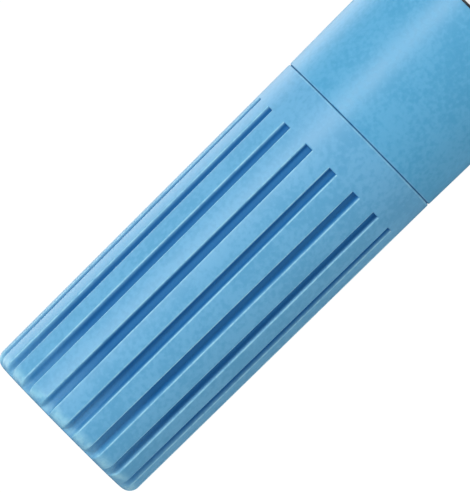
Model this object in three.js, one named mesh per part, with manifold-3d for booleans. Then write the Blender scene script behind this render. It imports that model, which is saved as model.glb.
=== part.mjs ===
// Capped felt-tip fabric marking pen, lying on its side.
//
// Millimetres, +Z up. The pen's axis runs along X: the cap's closed end is at the lowest X and the
// tail plug at the highest. The origin is on the resting surface, under the middle of the pen.
// Inside this file a "station" is the distance along the axis from the cap's closed end.

import * as THREE from 'three';
import { mergeVertices } from 'three/addons/utils/BufferGeometryUtils.js';
import Module from 'manifold-3d';

const wasm = await Module();
wasm.setup();

// ---------------------------------------------------------------- driving dimensions

// Outside.
const PEN_LENGTH = 130; // cap end to tail end
const BODY_RADIUS = 8.0; // the barrel's widest, which is what the pen lies on
const BARREL_SWELL = 0.2; // how much wider the barrel is there than at the seam
const SWELL_LENGTH = 24; // how far behind the seam the barrel reaches that width
const CAP_LENGTH = 32.9;
const CAP_TAPER = 0.21; // how much narrower the cap is at its closed end than at its mouth
const CAP_CORNER = 0.95; // rounding of the closed end
const SEAM_GAP = 0.1; // between the cap's mouth and the barrel

// Grip grooves, cut along the cap and open at its closed end.
const GROOVE_COUNT = 18;
const GROOVE_PHASE = 4.5; // degrees from straight up to the first groove's middle
const GROOVE_START = 3.5; // plain band between the seam and the grooves
const GROOVE_WIDTH_START = 0.8; // at the seam end
const GROOVE_WIDTH_END = 1.06; // at the closed end
const GROOVE_DEPTH_START = 0.45;
const GROOVE_DEPTH_END = 0.65;
const GROOVE_DRAFT = 0.12; // how far each side wall leans in from the top to the floor

// Cap, inside.
const CAP_WALL = 1.35; // at the mouth
const CAP_DEEP_WALL = 0.45; // how much thicker the wall is beyond the spigot
const CAP_END_WALL = 1.6;
const CAP_LEAD_IN = 0.25; // bevel inside the mouth
const SOCKET_DEPTH = 3.5; // ring on the end wall that holds the inner seal
const SOCKET_WALL = 0.8;

// Inner seal, a soft cup pressed into the cap that closes over the nose.
const SEAL_WALL = 0.8;
const SEAL_FLOOR = 1.0;
const SEAL_LAP = 3.0; // how far its lip passes the nose's tip
const SEAL_LIP_BEVEL = 0.3;
const TIP_ROOM = 4.6; // from the nib's tip to the seal's floor

// Front section: the nose, the spigot that the cap grips, and the sleeve inside the barrel.
const NOSE_RADIUS = 3.1;
const NOSE_LENGTH = 7.5;
const NOSE_SEAT = 3.6; // straight part of the nose that the seal closes on
const NOSE_CHAMFER = 0.45;
const SPIGOT_FACE = 1.5; // flat front face of the spigot, outside the nose's cone
const SPIGOT_CHAMFER = 0.4;
const SPIGOT_WALL = 1.1;
const BEAD_HEIGHT = 0.25; // snap bead round the spigot
const BEAD_WIDTH = 1.4;
const BEAD_SETBACK = 4.0; // from the seam to the bead's middle
const SLEEVE_LENGTH = 13;
const SLEEVE_WALL = 1.1;
const SLEEVE_CHAMFER = 0.35;
const WEB_THICKNESS = 2.4; // the wall behind the nose that the reservoir comes up to
const FLUTE_COUNT = 4; // air channels beside the nib
const FLUTE_WIDTH = 0.5;
const FLUTE_DEPTH = 0.4;

// Nib.
const NIB_RADIUS = 1.5;
const NIB_REACH = 5.2; // how far the tip stands out of the nose
const NIB_STRAIGHT = 1.6; // of that, before the taper begins
const NIB_TIP_RADIUS = 0.55;
const NIB_SOAK = 7.0; // how far the nib goes into the reservoir

// Barrel.
const BARREL_WALL = 1.0; // round the front section's sleeve
const BARREL_LEDGE = 0.4; // step inside that stops the sleeve
const BARREL_SHOULDER = 0.9; // rounding where the barrel steps down to the tail
const TAIL_LENGTH = 14; // narrow tail that the cap can be pushed onto
const TAIL_WALL = 1.1;
const TAIL_STEP_BACK = 3.0; // solid ring between the main bore and the tail's shoulder
const RIB_COUNT = 6; // ribs inside the barrel that centre the reservoir
const RIB_WIDTH = 0.8;
const RIB_SETBACK = 1.2; // from the ledge to the ribs

// Reservoir, its wrap and the air tube beside it.
const WRAP_THICKNESS = 0.15;
const RESERVOIR_END_ROOM = 2.0; // from the reservoir's back to the tail plug
const AIR_TUBE_RADIUS = 0.5;
const AIR_TUBE_BORE = 0.28;
const AIR_TUBE_INSET = 2.0; // each end of the air tube from the end of the barrel's main bore

// Tail plug.
const PLUG_HEAD = 1.4;
const PLUG_CORNER = 0.6;
const PLUG_SKIRT = 6.0;
const PLUG_WALL = 0.9;
const PLUG_CHAMFER = 0.3;

// Printed label panel on the barrel.
const LABEL_SETBACK = 13.3; // from the seam
const LABEL_LENGTH = 54;
const LABEL_HALF_ANGLE = 62; // degrees to each side of straight up
const LABEL_THICKNESS = 0.08;

// Clearances.
const SNAP_CLEARANCE = 0.1; // snap bead to cap bore
const SEAL_CLEARANCE = 0.1; // nose to seal
const PRESS_CLEARANCE = 0.05; // pieces pressed into each other
const NIB_CLEARANCE = 0.05;
const WRAP_CLEARANCE = 0.1; // wrap to the ribs and bores that it slides through
const STACK_GAP = 0.2; // pieces that follow each other along the axis
const LABEL_GAP = 0.02;

// Facets.
const SIDES = 32; // round pieces; a multiple of 4, so that a flat lies straight down
const CAP_SIDES = 3 * GROOVE_COUNT;
const NIB_SIDES = 24;
const TUBE_SIDES = 12;
const CORNER_STEPS = 4;
const SWELL_STEPS = 5;

// ---------------------------------------------------------------- derived places and radii

const SEAM_RADIUS = BODY_RADIUS - BARREL_SWELL;
const CAP_END_RADIUS = SEAM_RADIUS - CAP_TAPER;
const CAP_BORE = SEAM_RADIUS - CAP_WALL;
const CAP_DEEP_BORE = CAP_BORE - CAP_DEEP_WALL;
const SPIGOT_RADIUS = CAP_BORE - SNAP_CLEARANCE - BEAD_HEIGHT;
const BARREL_FRONT = CAP_LENGTH + SEAM_GAP;

const SEAL_FLOOR_STATION = CAP_END_WALL + STACK_GAP + SEAL_FLOOR;
const NIB_TIP_STATION = SEAL_FLOOR_STATION + TIP_ROOM;
const NOSE_STATION = NIB_TIP_STATION + NIB_REACH;
const SPIGOT_STATION = NOSE_STATION + NOSE_LENGTH;
const SEAL_BORE = NOSE_RADIUS + SEAL_CLEARANCE;
const SEAL_RADIUS = SEAL_BORE + SEAL_WALL;
const SOCKET_BORE = SEAL_RADIUS + PRESS_CLEARANCE;

const FRONT_BORE = SEAM_RADIUS - BARREL_WALL;
const SLEEVE_RADIUS = FRONT_BORE - PRESS_CLEARANCE;
const SLEEVE_BORE = SLEEVE_RADIUS - SLEEVE_WALL;
const SPIGOT_BORE = SPIGOT_RADIUS - SPIGOT_WALL;
const SLEEVE_END = BARREL_FRONT + SLEEVE_LENGTH;
const LEDGE_STATION = SLEEVE_END + STACK_GAP;
const MAIN_BORE = FRONT_BORE - BARREL_LEDGE;
const WEB_BACK = SPIGOT_STATION + WEB_THICKNESS;
const NIB_BORE = NIB_RADIUS + NIB_CLEARANCE;

const TAIL_STATION = PEN_LENGTH - TAIL_LENGTH;
const TAIL_RADIUS = SPIGOT_RADIUS;
const TAIL_BORE = TAIL_RADIUS - TAIL_WALL;
const TAIL_RING_STATION = TAIL_STATION - TAIL_STEP_BACK;
const PLUG_HEAD_STATION = PEN_LENGTH - PLUG_HEAD;
const BARREL_END = PLUG_HEAD_STATION - STACK_GAP;
const PLUG_STATION = BARREL_END - PLUG_SKIRT;

const WRAP_RADIUS = Math.min(SPIGOT_BORE, TAIL_BORE) - WRAP_CLEARANCE;
const RESERVOIR_RADIUS = WRAP_RADIUS - WRAP_THICKNESS - PRESS_CLEARANCE;
const RESERVOIR_FRONT = WEB_BACK + STACK_GAP;
const RESERVOIR_BACK = PLUG_STATION - RESERVOIR_END_ROOM;
const NIB_END = RESERVOIR_FRONT + NIB_SOAK;
const NIB_POCKET = NIB_END + STACK_GAP;

// ---------------------------------------------------------------- geometry helpers

const degrees = THREE.MathUtils.degToRad;

/** Points of a quarter of a circle in the [radius, station] plane, both ends included. */
function quarterArc(centreRadius, centreStation, size, startAngle) {
  const points = [];
  for (let step = 0; step <= CORNER_STEPS; step += 1) {
    const angle = startAngle + (Math.PI / 2) * (step / CORNER_STEPS);
    points.push([centreRadius + size * Math.cos(angle), centreStation + size * Math.sin(angle)]);
  }
  return points;
}

/**
 * A turned piece. The profile is a list of [radius, station] that runs up the outside and down the
 * inside. Each radius is measured to the middle of the flats, so nested pieces keep their clearance.
 */
function turned(profile, sides = SIDES) {
  const toCorner = 1 / Math.cos(Math.PI / sides);
  const points = profile.map(([radius, station]) => new THREE.Vector2(radius * toCorner, station));
  const onAxis = profile[0][0] === 0 && profile.at(-1)[0] === 0;
  if (!onAxis) {
    points.push(points[0].clone());
  }
  const geometry = new THREE.LatheGeometry(points, sides, Math.PI / sides);
  return geometry.rotateZ(-Math.PI / 2);
}

/** A closed geometry as a manifold solid. */
function solidOf(geometry) {
  const bare = geometry.clone();
  bare.deleteAttribute('normal');
  bare.deleteAttribute('uv');
  const merged = mergeVertices(bare);
  const corners = merged.index.array;
  const triVerts = [];
  for (let first = 0; first < corners.length; first += 3) {
    const [a, b, c] = corners.slice(first, first + 3);
    if (a !== b && b !== c && c !== a) {
      triVerts.push(a, b, c);
    }
  }
  const mesh = new wasm.Mesh({
    numProp: 3,
    vertProperties: new Float32Array(merged.attributes.position.array),
    triVerts: new Uint32Array(triVerts),
  });
  mesh.merge();
  return new wasm.Manifold(mesh);
}

/** A manifold solid as a geometry. */
function geometryOf(solid) {
  const mesh = solid.getMesh();
  const geometry = new THREE.BufferGeometry();
  geometry.setAttribute('position', new THREE.BufferAttribute(mesh.vertProperties, 3));
  geometry.setIndex(new THREE.BufferAttribute(mesh.triVerts, 1));
  geometry.computeVertexNormals();
  return geometry;
}

/** A bar along the axis, standing straight up from one radius to another, turned by an angle. */
function bar({ from, to, inner, outer, width, angle }) {
  const geometry = new THREE.BoxGeometry(to - from, width, outer - inner);
  geometry.translate((from + to) / 2, 0, (inner + outer) / 2);
  return geometry.rotateX(angle);
}

// ---------------------------------------------------------------- outside shapes

/** The barrel's radius at a station: it swells behind the seam and then runs parallel. */
function barrelRadius(station) {
  const share = Math.min((station - BARREL_FRONT) / SWELL_LENGTH, 1);
  return SEAM_RADIUS + BARREL_SWELL * (1 - (1 - share) ** 2);
}

/** The cap's radius at a station, its corner rounding left aside. */
function capRadius(station) {
  return CAP_END_RADIUS + CAP_TAPER * (station / CAP_LENGTH);
}

/** The barrel's outer outline between two stations, ends included. */
function barrelOutline(from, to) {
  const swellEnd = Math.min(BARREL_FRONT + SWELL_LENGTH, to);
  const outline = [];
  for (let step = 0; step <= SWELL_STEPS; step += 1) {
    const station = from + (swellEnd - from) * (step / SWELL_STEPS);
    outline.push([barrelRadius(station), station]);
  }
  if (swellEnd < to) {
    outline.push([barrelRadius(to), to]);
  }
  return outline;
}

// ---------------------------------------------------------------- cap

/** One groove's cutter: it widens and deepens towards the closed end, and its walls lean in. */
function grooveCutter(angle) {
  const mouthEnd = CAP_LENGTH - GROOVE_START;
  const closedEnd = -CAP_CORNER;
  const above = SEAM_RADIUS + 1;
  const geometry = new THREE.BoxGeometry(1, 1, 1);
  const position = geometry.attributes.position;
  for (let index = 0; index < position.count; index += 1) {
    const atMouth = position.getX(index) > 0;
    const atTop = position.getZ(index) > 0;
    const side = Math.sign(position.getY(index));
    const station = atMouth ? mouthEnd : closedEnd;
    const depth = atMouth ? GROOVE_DEPTH_START : GROOVE_DEPTH_END;
    const topWidth = atMouth ? GROOVE_WIDTH_START : GROOVE_WIDTH_END;
    const surface = capRadius(station);
    const lean = GROOVE_DRAFT / depth;
    const height = atTop ? above : surface - depth;
    const halfWidth = topWidth / 2 + (height - surface) * lean;
    position.setXYZ(index, station, side * halfWidth, height);
  }
  return solidOf(geometry.rotateX(angle));
}

function capShell() {
  const socketTop = CAP_END_WALL + SOCKET_DEPTH;
  const socketRadius = SOCKET_BORE + SOCKET_WALL;
  const stepStation = SPIGOT_STATION - STACK_GAP;
  const cornerRadius = capRadius(CAP_CORNER) - CAP_CORNER;
  const profile = [
    [0, 0],
    ...quarterArc(cornerRadius, CAP_CORNER, CAP_CORNER, -Math.PI / 2),
    [SEAM_RADIUS, CAP_LENGTH],
    [CAP_BORE + CAP_LEAD_IN, CAP_LENGTH],
    [CAP_BORE, CAP_LENGTH - CAP_LEAD_IN],
    [CAP_BORE, stepStation],
    [CAP_DEEP_BORE, stepStation - CAP_DEEP_WALL],
    [CAP_DEEP_BORE, CAP_END_WALL],
    [socketRadius, CAP_END_WALL],
    [socketRadius, socketTop],
    [SOCKET_BORE, socketTop],
    [SOCKET_BORE, CAP_END_WALL],
    [0, CAP_END_WALL],
  ];
  let solid = solidOf(turned(profile, CAP_SIDES).rotateX(degrees(GROOVE_PHASE)));
  for (let groove = 0; groove < GROOVE_COUNT; groove += 1) {
    const angle = degrees(GROOVE_PHASE) + (groove / GROOVE_COUNT) * 2 * Math.PI;
    solid = solid.subtract(grooveCutter(angle));
  }
  return geometryOf(solid);
}

function capInnerSeal() {
  const bottom = CAP_END_WALL + STACK_GAP;
  const lip = NOSE_STATION + SEAL_LAP;
  return turned([
    [0, bottom],
    [SEAL_RADIUS, bottom],
    [SEAL_RADIUS, lip - SEAL_LIP_BEVEL],
    [SEAL_RADIUS - SEAL_LIP_BEVEL, lip],
    [SEAL_BORE, lip],
    [SEAL_BORE, SEAL_FLOOR_STATION],
    [0, SEAL_FLOOR_STATION],
  ]);
}

// ---------------------------------------------------------------- front section and nib

function nibHolder() {
  const beadStation = BARREL_FRONT - BEAD_SETBACK;
  const profile = [
    [NIB_BORE, NOSE_STATION],
    [NOSE_RADIUS - NOSE_CHAMFER, NOSE_STATION],
    [NOSE_RADIUS, NOSE_STATION + NOSE_CHAMFER],
    [NOSE_RADIUS, NOSE_STATION + NOSE_SEAT],
    [SPIGOT_RADIUS - SPIGOT_FACE, SPIGOT_STATION],
    [SPIGOT_RADIUS - SPIGOT_CHAMFER, SPIGOT_STATION],
    [SPIGOT_RADIUS, SPIGOT_STATION + SPIGOT_CHAMFER],
    [SPIGOT_RADIUS, beadStation - BEAD_WIDTH / 2],
    [SPIGOT_RADIUS + BEAD_HEIGHT, beadStation - BEAD_WIDTH / 6],
    [SPIGOT_RADIUS + BEAD_HEIGHT, beadStation + BEAD_WIDTH / 6],
    [SPIGOT_RADIUS, beadStation + BEAD_WIDTH / 2],
    [SPIGOT_RADIUS, BARREL_FRONT],
    [SLEEVE_RADIUS, BARREL_FRONT],
    [SLEEVE_RADIUS, SLEEVE_END - SLEEVE_CHAMFER],
    [SLEEVE_RADIUS - SLEEVE_CHAMFER, SLEEVE_END],
    [SLEEVE_BORE, SLEEVE_END],
    [SLEEVE_BORE, BARREL_FRONT + SLEEVE_BORE - SPIGOT_BORE],
    [SPIGOT_BORE, BARREL_FRONT],
    [SPIGOT_BORE, WEB_BACK],
    [NIB_BORE, WEB_BACK],
  ];
  let solid = solidOf(turned(profile));
  for (let flute = 0; flute < FLUTE_COUNT; flute += 1) {
    const cutter = bar({
      from: NOSE_STATION - 1,
      to: WEB_BACK + 1,
      inner: NIB_RADIUS / 2,
      outer: NIB_BORE + FLUTE_DEPTH,
      width: FLUTE_WIDTH,
      angle: ((flute + 0.5) / FLUTE_COUNT) * 2 * Math.PI,
    });
    solid = solid.subtract(solidOf(cutter));
  }
  return geometryOf(solid);
}

function fibreNib() {
  const taperStation = NOSE_STATION - NIB_STRAIGHT;
  return turned(
    [
      [0, NIB_TIP_STATION],
      ...quarterArc(0, NIB_TIP_STATION + NIB_TIP_RADIUS, NIB_TIP_RADIUS, -Math.PI / 2).slice(1),
      [NIB_RADIUS, taperStation],
      [NIB_RADIUS, NIB_END],
      [0, NIB_END],
    ],
    NIB_SIDES,
  );
}

// ---------------------------------------------------------------- barrel, label and tail

function barrel() {
  const shoulderStation = TAIL_STATION - BARREL_SHOULDER;
  const outline = barrelOutline(BARREL_FRONT, shoulderStation);
  const profile = [
    [FRONT_BORE, BARREL_FRONT],
    ...outline,
    ...quarterArc(BODY_RADIUS - BARREL_SHOULDER, shoulderStation, BARREL_SHOULDER, 0).slice(1),
    [TAIL_RADIUS, TAIL_STATION],
    [TAIL_RADIUS, BARREL_END],
    [TAIL_BORE, BARREL_END],
    [TAIL_BORE, TAIL_RING_STATION],
    [MAIN_BORE, TAIL_RING_STATION],
    [MAIN_BORE, LEDGE_STATION],
    [FRONT_BORE, LEDGE_STATION],
  ];
  let solid = solidOf(turned(profile));
  for (let rib = 0; rib < RIB_COUNT; rib += 1) {
    const ribBar = bar({
      from: LEDGE_STATION + RIB_SETBACK,
      to: TAIL_RING_STATION + TAIL_STEP_BACK / 2,
      inner: WRAP_RADIUS + WRAP_CLEARANCE,
      outer: MAIN_BORE + BARREL_LEDGE,
      width: RIB_WIDTH,
      angle: (rib / RIB_COUNT) * 2 * Math.PI,
    });
    solid = solid.add(solidOf(ribBar));
  }
  return geometryOf(solid);
}

function barrelLabel() {
  const from = BARREL_FRONT + LABEL_SETBACK;
  const to = from + LABEL_LENGTH;
  const surface = barrelOutline(from, to);
  const offset = (distance) => surface.map(([radius, station]) => [radius + distance, station]);
  const outer = offset(LABEL_GAP + LABEL_THICKNESS);
  const inner = offset(LABEL_GAP).reverse();
  const ring = solidOf(turned([...outer, ...inner]));

  // A sector, straight up to each side, that keeps only the label's share of the ring.
  const reach = 2 * BODY_RADIUS;
  const edge = degrees(LABEL_HALF_ANGLE);
  const sector = new THREE.Shape();
  sector.moveTo(0, 0);
  sector.lineTo(reach * Math.sin(edge), reach * Math.cos(edge));
  sector.lineTo(0, reach);
  sector.lineTo(-reach * Math.sin(edge), reach * Math.cos(edge));
  sector.closePath();
  const wedge = new THREE.ExtrudeGeometry(sector, { depth: LABEL_LENGTH + 2, bevelEnabled: false });
  wedge.rotateX(Math.PI / 2);
  wedge.rotateZ(Math.PI / 2);
  wedge.translate(from - 1, 0, 0);
  return geometryOf(ring.intersect(solidOf(wedge)));
}

function tailPlug() {
  const skirtRadius = TAIL_BORE - PRESS_CLEARANCE;
  const skirtBore = skirtRadius - PLUG_WALL;
  const corner = [TAIL_RADIUS - PLUG_CORNER, PEN_LENGTH - PLUG_CORNER];
  return turned([
    [0, PLUG_HEAD_STATION],
    [skirtBore, PLUG_HEAD_STATION],
    [skirtBore, PLUG_STATION],
    [skirtRadius - PLUG_CHAMFER, PLUG_STATION],
    [skirtRadius, PLUG_STATION + PLUG_CHAMFER],
    [skirtRadius, PLUG_HEAD_STATION],
    [TAIL_RADIUS, PLUG_HEAD_STATION],
    ...quarterArc(corner[0], corner[1], PLUG_CORNER, 0),
    [0, PEN_LENGTH],
  ]);
}

// ---------------------------------------------------------------- ink system

function inkReservoir() {
  return turned([
    [0, NIB_POCKET],
    [NIB_BORE, NIB_POCKET],
    [NIB_BORE, RESERVOIR_FRONT],
    [RESERVOIR_RADIUS, RESERVOIR_FRONT],
    [RESERVOIR_RADIUS, RESERVOIR_BACK],
    [0, RESERVOIR_BACK],
  ]);
}

function reservoirWrap() {
  return turned([
    [WRAP_RADIUS - WRAP_THICKNESS, RESERVOIR_FRONT],
    [WRAP_RADIUS, RESERVOIR_FRONT],
    [WRAP_RADIUS, RESERVOIR_BACK],
    [WRAP_RADIUS - WRAP_THICKNESS, RESERVOIR_BACK],
  ]);
}

/** The air tube lies between two ribs, midway between the wrap and the bore. */
function airTube() {
  const from = LEDGE_STATION + AIR_TUBE_INSET;
  const to = TAIL_RING_STATION - AIR_TUBE_INSET;
  const tube = turned(
    [
      [AIR_TUBE_BORE, from],
      [AIR_TUBE_RADIUS, from],
      [AIR_TUBE_RADIUS, to],
      [AIR_TUBE_BORE, to],
    ],
    TUBE_SIDES,
  );
  return tube.translate(0, 0, (WRAP_RADIUS + MAIN_BORE) / 2).rotateX(Math.PI / RIB_COUNT);
}

// ---------------------------------------------------------------- materials and assembly

const BLUE_PLASTIC = { color: 0x6fb1dd, roughness: 0.42, metalness: 0 };
const NATURAL_PLASTIC = { color: 0xe9edf0, roughness: 0.5, metalness: 0 };
const WHITE_FILM = { color: 0xf7f8f8, roughness: 0.35, metalness: 0 };
const CLEAR_FILM = { color: 0xdfe8ee, roughness: 0.25, metalness: 0 };
const INKED_FIBRE = { color: 0x2f6fd0, roughness: 0.9, metalness: 0 };

function piece(name, geometry, finish) {
  const mesh = new THREE.Mesh(geometry, new THREE.MeshStandardMaterial(finish));
  mesh.name = name;
  return mesh;
}

const cap = new THREE.Group();
cap.add(piece('cap_shell', capShell(), BLUE_PLASTIC));
cap.add(piece('cap_inner_seal', capInnerSeal(), NATURAL_PLASTIC));

const body = new THREE.Group();
body.add(piece('barrel', barrel(), BLUE_PLASTIC));
body.add(piece('barrel_label', barrelLabel(), WHITE_FILM));
body.add(piece('nib_holder', nibHolder(), NATURAL_PLASTIC));
body.add(piece('fibre_nib', fibreNib(), INKED_FIBRE));
body.add(piece('ink_reservoir', inkReservoir(), INKED_FIBRE));
body.add(piece('reservoir_wrap', reservoirWrap(), CLEAR_FILM));
body.add(piece('air_tube', airTube(), CLEAR_FILM));
body.add(piece('tail_plug', tailPlug(), BLUE_PLASTIC));

const pen = new THREE.Group();
pen.add(cap, body);
pen.position.set(-PEN_LENGTH / 2, 0, BODY_RADIUS);

export default pen;
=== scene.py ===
"""Fabric marking pen: the finished surfaces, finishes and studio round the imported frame.

Lengths in the dataclasses are millimetres, except where they say metres. A station is the distance
along the pen from the cap's closed end, and an angle is measured from straight up towards the near
side (-Y).
"""

import logging
import math
from dataclasses import dataclass, field
from enum import Enum
from typing import Iterable, NamedTuple, Optional, Sequence, Union

import bpy
from mathutils import Matrix, Vector


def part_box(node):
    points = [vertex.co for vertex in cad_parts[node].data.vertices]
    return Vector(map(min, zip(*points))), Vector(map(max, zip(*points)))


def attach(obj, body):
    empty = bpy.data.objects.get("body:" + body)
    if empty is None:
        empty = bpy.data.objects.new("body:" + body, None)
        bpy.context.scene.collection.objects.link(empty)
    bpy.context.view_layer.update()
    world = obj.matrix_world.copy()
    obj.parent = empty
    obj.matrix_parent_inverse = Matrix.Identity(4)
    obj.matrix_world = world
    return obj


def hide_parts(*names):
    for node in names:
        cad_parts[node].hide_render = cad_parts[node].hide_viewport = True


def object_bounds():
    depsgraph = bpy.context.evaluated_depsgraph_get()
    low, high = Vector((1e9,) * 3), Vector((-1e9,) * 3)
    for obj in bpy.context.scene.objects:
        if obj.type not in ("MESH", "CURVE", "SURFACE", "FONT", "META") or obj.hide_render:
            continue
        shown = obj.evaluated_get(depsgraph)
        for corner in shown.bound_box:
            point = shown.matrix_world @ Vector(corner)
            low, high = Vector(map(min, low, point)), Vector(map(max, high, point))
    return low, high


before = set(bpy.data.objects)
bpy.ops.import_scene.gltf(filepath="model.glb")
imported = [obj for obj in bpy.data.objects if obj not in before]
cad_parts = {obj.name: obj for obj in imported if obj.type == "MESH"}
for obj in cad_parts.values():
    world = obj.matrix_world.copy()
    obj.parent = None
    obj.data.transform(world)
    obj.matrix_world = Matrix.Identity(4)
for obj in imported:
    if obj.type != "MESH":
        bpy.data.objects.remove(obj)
cad_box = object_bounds()

MM = 0.001  # metres in a millimetre
MICRON = 1e-6  # metres in a micrometre
SEAM_MERGE = 2e-7  # points of two sectors closer than this, in metres, are one
POLE_RADIUS = 1e-6  # a ring narrower than this, in millimetres, is one point
ARC_ROOM = 0.46  # share of a side that the rounding at one of its ends may take
LOG = logging.getLogger("marking_pen")
Plug = Union[bpy.types.NodeSocket, float, tuple]


class Body(Enum):
    """The two bodies that pieces ride on."""

    PEN = "pen"
    CAP = "cap"


class Slot(Enum):
    """The material slots of the pieces that are replaced."""

    BLUE = "blue_plastic"
    NATURAL = "natural_plastic"
    LABEL = "label_print"
    FIBRE = "inked_fibre"


# ---------------------------------------------------------------- where the pen lies


@dataclass(frozen=True)
class Datum:
    """The pen's own axis.

    Attributes:
        start: x of station 0, in metres.
        height: z of the axis, in metres.
    """

    start: float
    height: float

    @classmethod
    def from_frame(cls) -> "Datum":
        """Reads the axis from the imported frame's boxes."""
        barrel_lo, barrel_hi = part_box("barrel")
        return cls(start=cad_box[0].x, height=(barrel_lo.z + barrel_hi.z) / 2)

    def lowered(self) -> "Datum":
        """The same stations with the axis through the origin, for what is turned about it."""
        return Datum(self.start, 0.0)

    def point(self, station: float, radius: float, angle: float) -> Vector:
        """Places a point of the pen.

        Args:
            station: Distance from the cap's closed end, in millimetres.
            radius: Distance from the axis, in millimetres.
            angle: Radians from straight up, towards -Y.

        Returns:
            The point in metres.
        """
        across = -radius * MM * math.sin(angle)
        up = self.height + radius * MM * math.cos(angle)
        return Vector((self.start + station * MM, across, up))


# ---------------------------------------------------------------- outlines


class Stop(NamedTuple):
    """One ring of an outline, with how much of an outer edge it is and how much painted shade it
    takes (0 to 1).
    """

    station: float
    radius: float
    edge: float = 0.0
    recess: float = 0.0


class Corner(NamedTuple):
    """A corner of an outline before it is rounded, and its painted shade mask at both ends of the
    arc.
    """

    station: float
    radius: float
    fillet: float = 0.0
    steps: int = 4
    recess: tuple = (0.0, 0.0)


def clamped(value: float) -> float:
    """Keeps a value between 0 and 1."""
    return min(max(0.0, value), 1.0)


def rounded(
    corners: Sequence[Corner], support: float = 0.3, edge_foot: float = 0.3
) -> list[Stop]:
    """Rounds an outline's corners with arcs, and sets a supporting ring beside each arc.

    Args:
        corners: The outline in order, up the outside and down the inside of a piece.
        support: How far a supporting ring stands off an arc, as a share of its radius.
        edge_foot: The edge mask at both ends of an outer arc; it is 1 in the middle.

    Returns:
        The rings of the rounded outline.
    """
    stops: list[Stop] = []
    last = len(corners) - 1
    for index, corner in enumerate(corners):
        here = Vector((corner.station, corner.radius))
        if corner.fillet <= 0 or index in (0, last):
            stops.append(Stop(corner.station, corner.radius))
            continue
        before = Vector(corners[index - 1][:2]) - here
        after = Vector(corners[index + 1][:2]) - here
        room = ARC_ROOM * min(before.length, after.length)
        before.normalize()
        after.normalize()
        half = before.angle(after) / 2
        reach = min(corner.fillet / math.tan(half), room)
        radius = reach * math.tan(half)
        convex = before.x * after.y - before.y * after.x > 0
        centre = here + (before + after).normalized() * (radius / math.sin(half))
        start = here + before * (reach + support * radius)
        sunk, risen = corner.recess
        stops.append(Stop(start.x, start.y, 0.0, clamped(sunk)))
        arm = here + before * reach - centre
        sweep = (2 * half - math.pi) if convex else (math.pi - 2 * half)
        for step in range(corner.steps + 1):
            share = step / corner.steps
            at = centre + Matrix.Rotation(sweep * share, 2) @ arm
            bow = math.sin(math.pi * share)
            edge = edge_foot + (1.0 - edge_foot) * bow if convex else 0.0
            stops.append(Stop(at.x, at.y, edge, clamped(sunk + (risen - sunk) * share)))
        end = here + after * (reach + support * radius)
        stops.append(Stop(end.x, end.y, 0.0, clamped(risen)))
    return stops


def bend(
    before: Vector, here: Vector, after: Vector, reach: float, steps: int = 4
) -> list[Vector]:
    """Rounds one corner with a quadratic curve, which always has the same number of points.

    Args:
        before: The corner before it.
        here: The corner.
        after: The corner after it.
        reach: How far from the corner the curve starts and ends.
        steps: Segments of the curve.

    Returns:
        The curve's points.
    """
    into = before - here
    out = after - here
    start = here + into.normalized() * min(reach, ARC_ROOM * into.length)
    end = here + out.normalized() * min(reach, ARC_ROOM * out.length)
    points = []
    for step in range(steps + 1):
        t = step / steps
        points.append(start * (1 - t) ** 2 + here * (2 * t * (1 - t)) + end * t**2)
    return points


def spread(low: float, high: float, count: int) -> list[float]:
    """Returns count + 1 evenly spaced values from low to high."""
    return [low + (high - low) * index / count for index in range(count + 1)]


# ---------------------------------------------------------------- meshes


@dataclass
class Surface:
    """A mesh while it is made.

    Attributes:
        points: Its points, in metres.
        faces: Its faces, as indices of points.
        values: The masks that its finish reads, one number to a point.
        panel: Places on the label, three numbers to a point; empty on other pieces.
    """

    points: list[Vector] = field(default_factory=list)
    faces: list[tuple[int, ...]] = field(default_factory=list)
    values: dict[str, list[float]] = field(default_factory=lambda: {"edge": [], "recess": []})
    panel: list[float] = field(default_factory=list)

    def add(self, point: Vector, edge: float = 0.0, recess: float = 0.0) -> int:
        """Adds a point.

        Args:
            point: Its place in metres.
            edge: How much of an outer edge it is, 0 to 1.
            recess: How much painted shade it takes, 0 to 1.

        Returns:
            Its index.
        """
        self.points.append(point)
        self.values["edge"].append(edge)
        self.values["recess"].append(recess)
        return len(self.points) - 1

    def bridge(self, low: Sequence[int], high: Sequence[int], closed: bool = True) -> None:
        """Joins two rows of points with faces; a row of one point is a pole.

        Args:
            low: The first row.
            high: The second row.
            closed: Whether the rows join up with themselves.
        """
        count = max(len(low), len(high))
        for index in range(count if closed else count - 1):
            following = (index + 1) % count
            ring = (
                low[index % len(low)],
                low[following % len(low)],
                high[following % len(high)],
                high[index % len(high)],
            )
            corners = tuple(dict.fromkeys(ring))
            if len(corners) > 2:
                self.faces.append(corners)

    def mesh(self, name: str) -> bpy.types.Mesh:
        """Makes the mesh, shaded smooth, with its point attributes.

        Args:
            name: The mesh's name.

        Returns:
            The mesh.
        """
        mesh = bpy.data.meshes.new(name)
        mesh.from_pydata([tuple(point) for point in self.points], [], self.faces)
        for attribute, values in self.values.items():
            mesh.attributes.new(attribute, "FLOAT", "POINT").data.foreach_set("value", values)
        if self.panel:
            layer = mesh.attributes.new("panel", "FLOAT_VECTOR", "POINT")
            layer.data.foreach_set("vector", self.panel)
        mesh.polygons.foreach_set("use_smooth", [True] * len(mesh.polygons))
        mesh.update()
        return mesh


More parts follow.
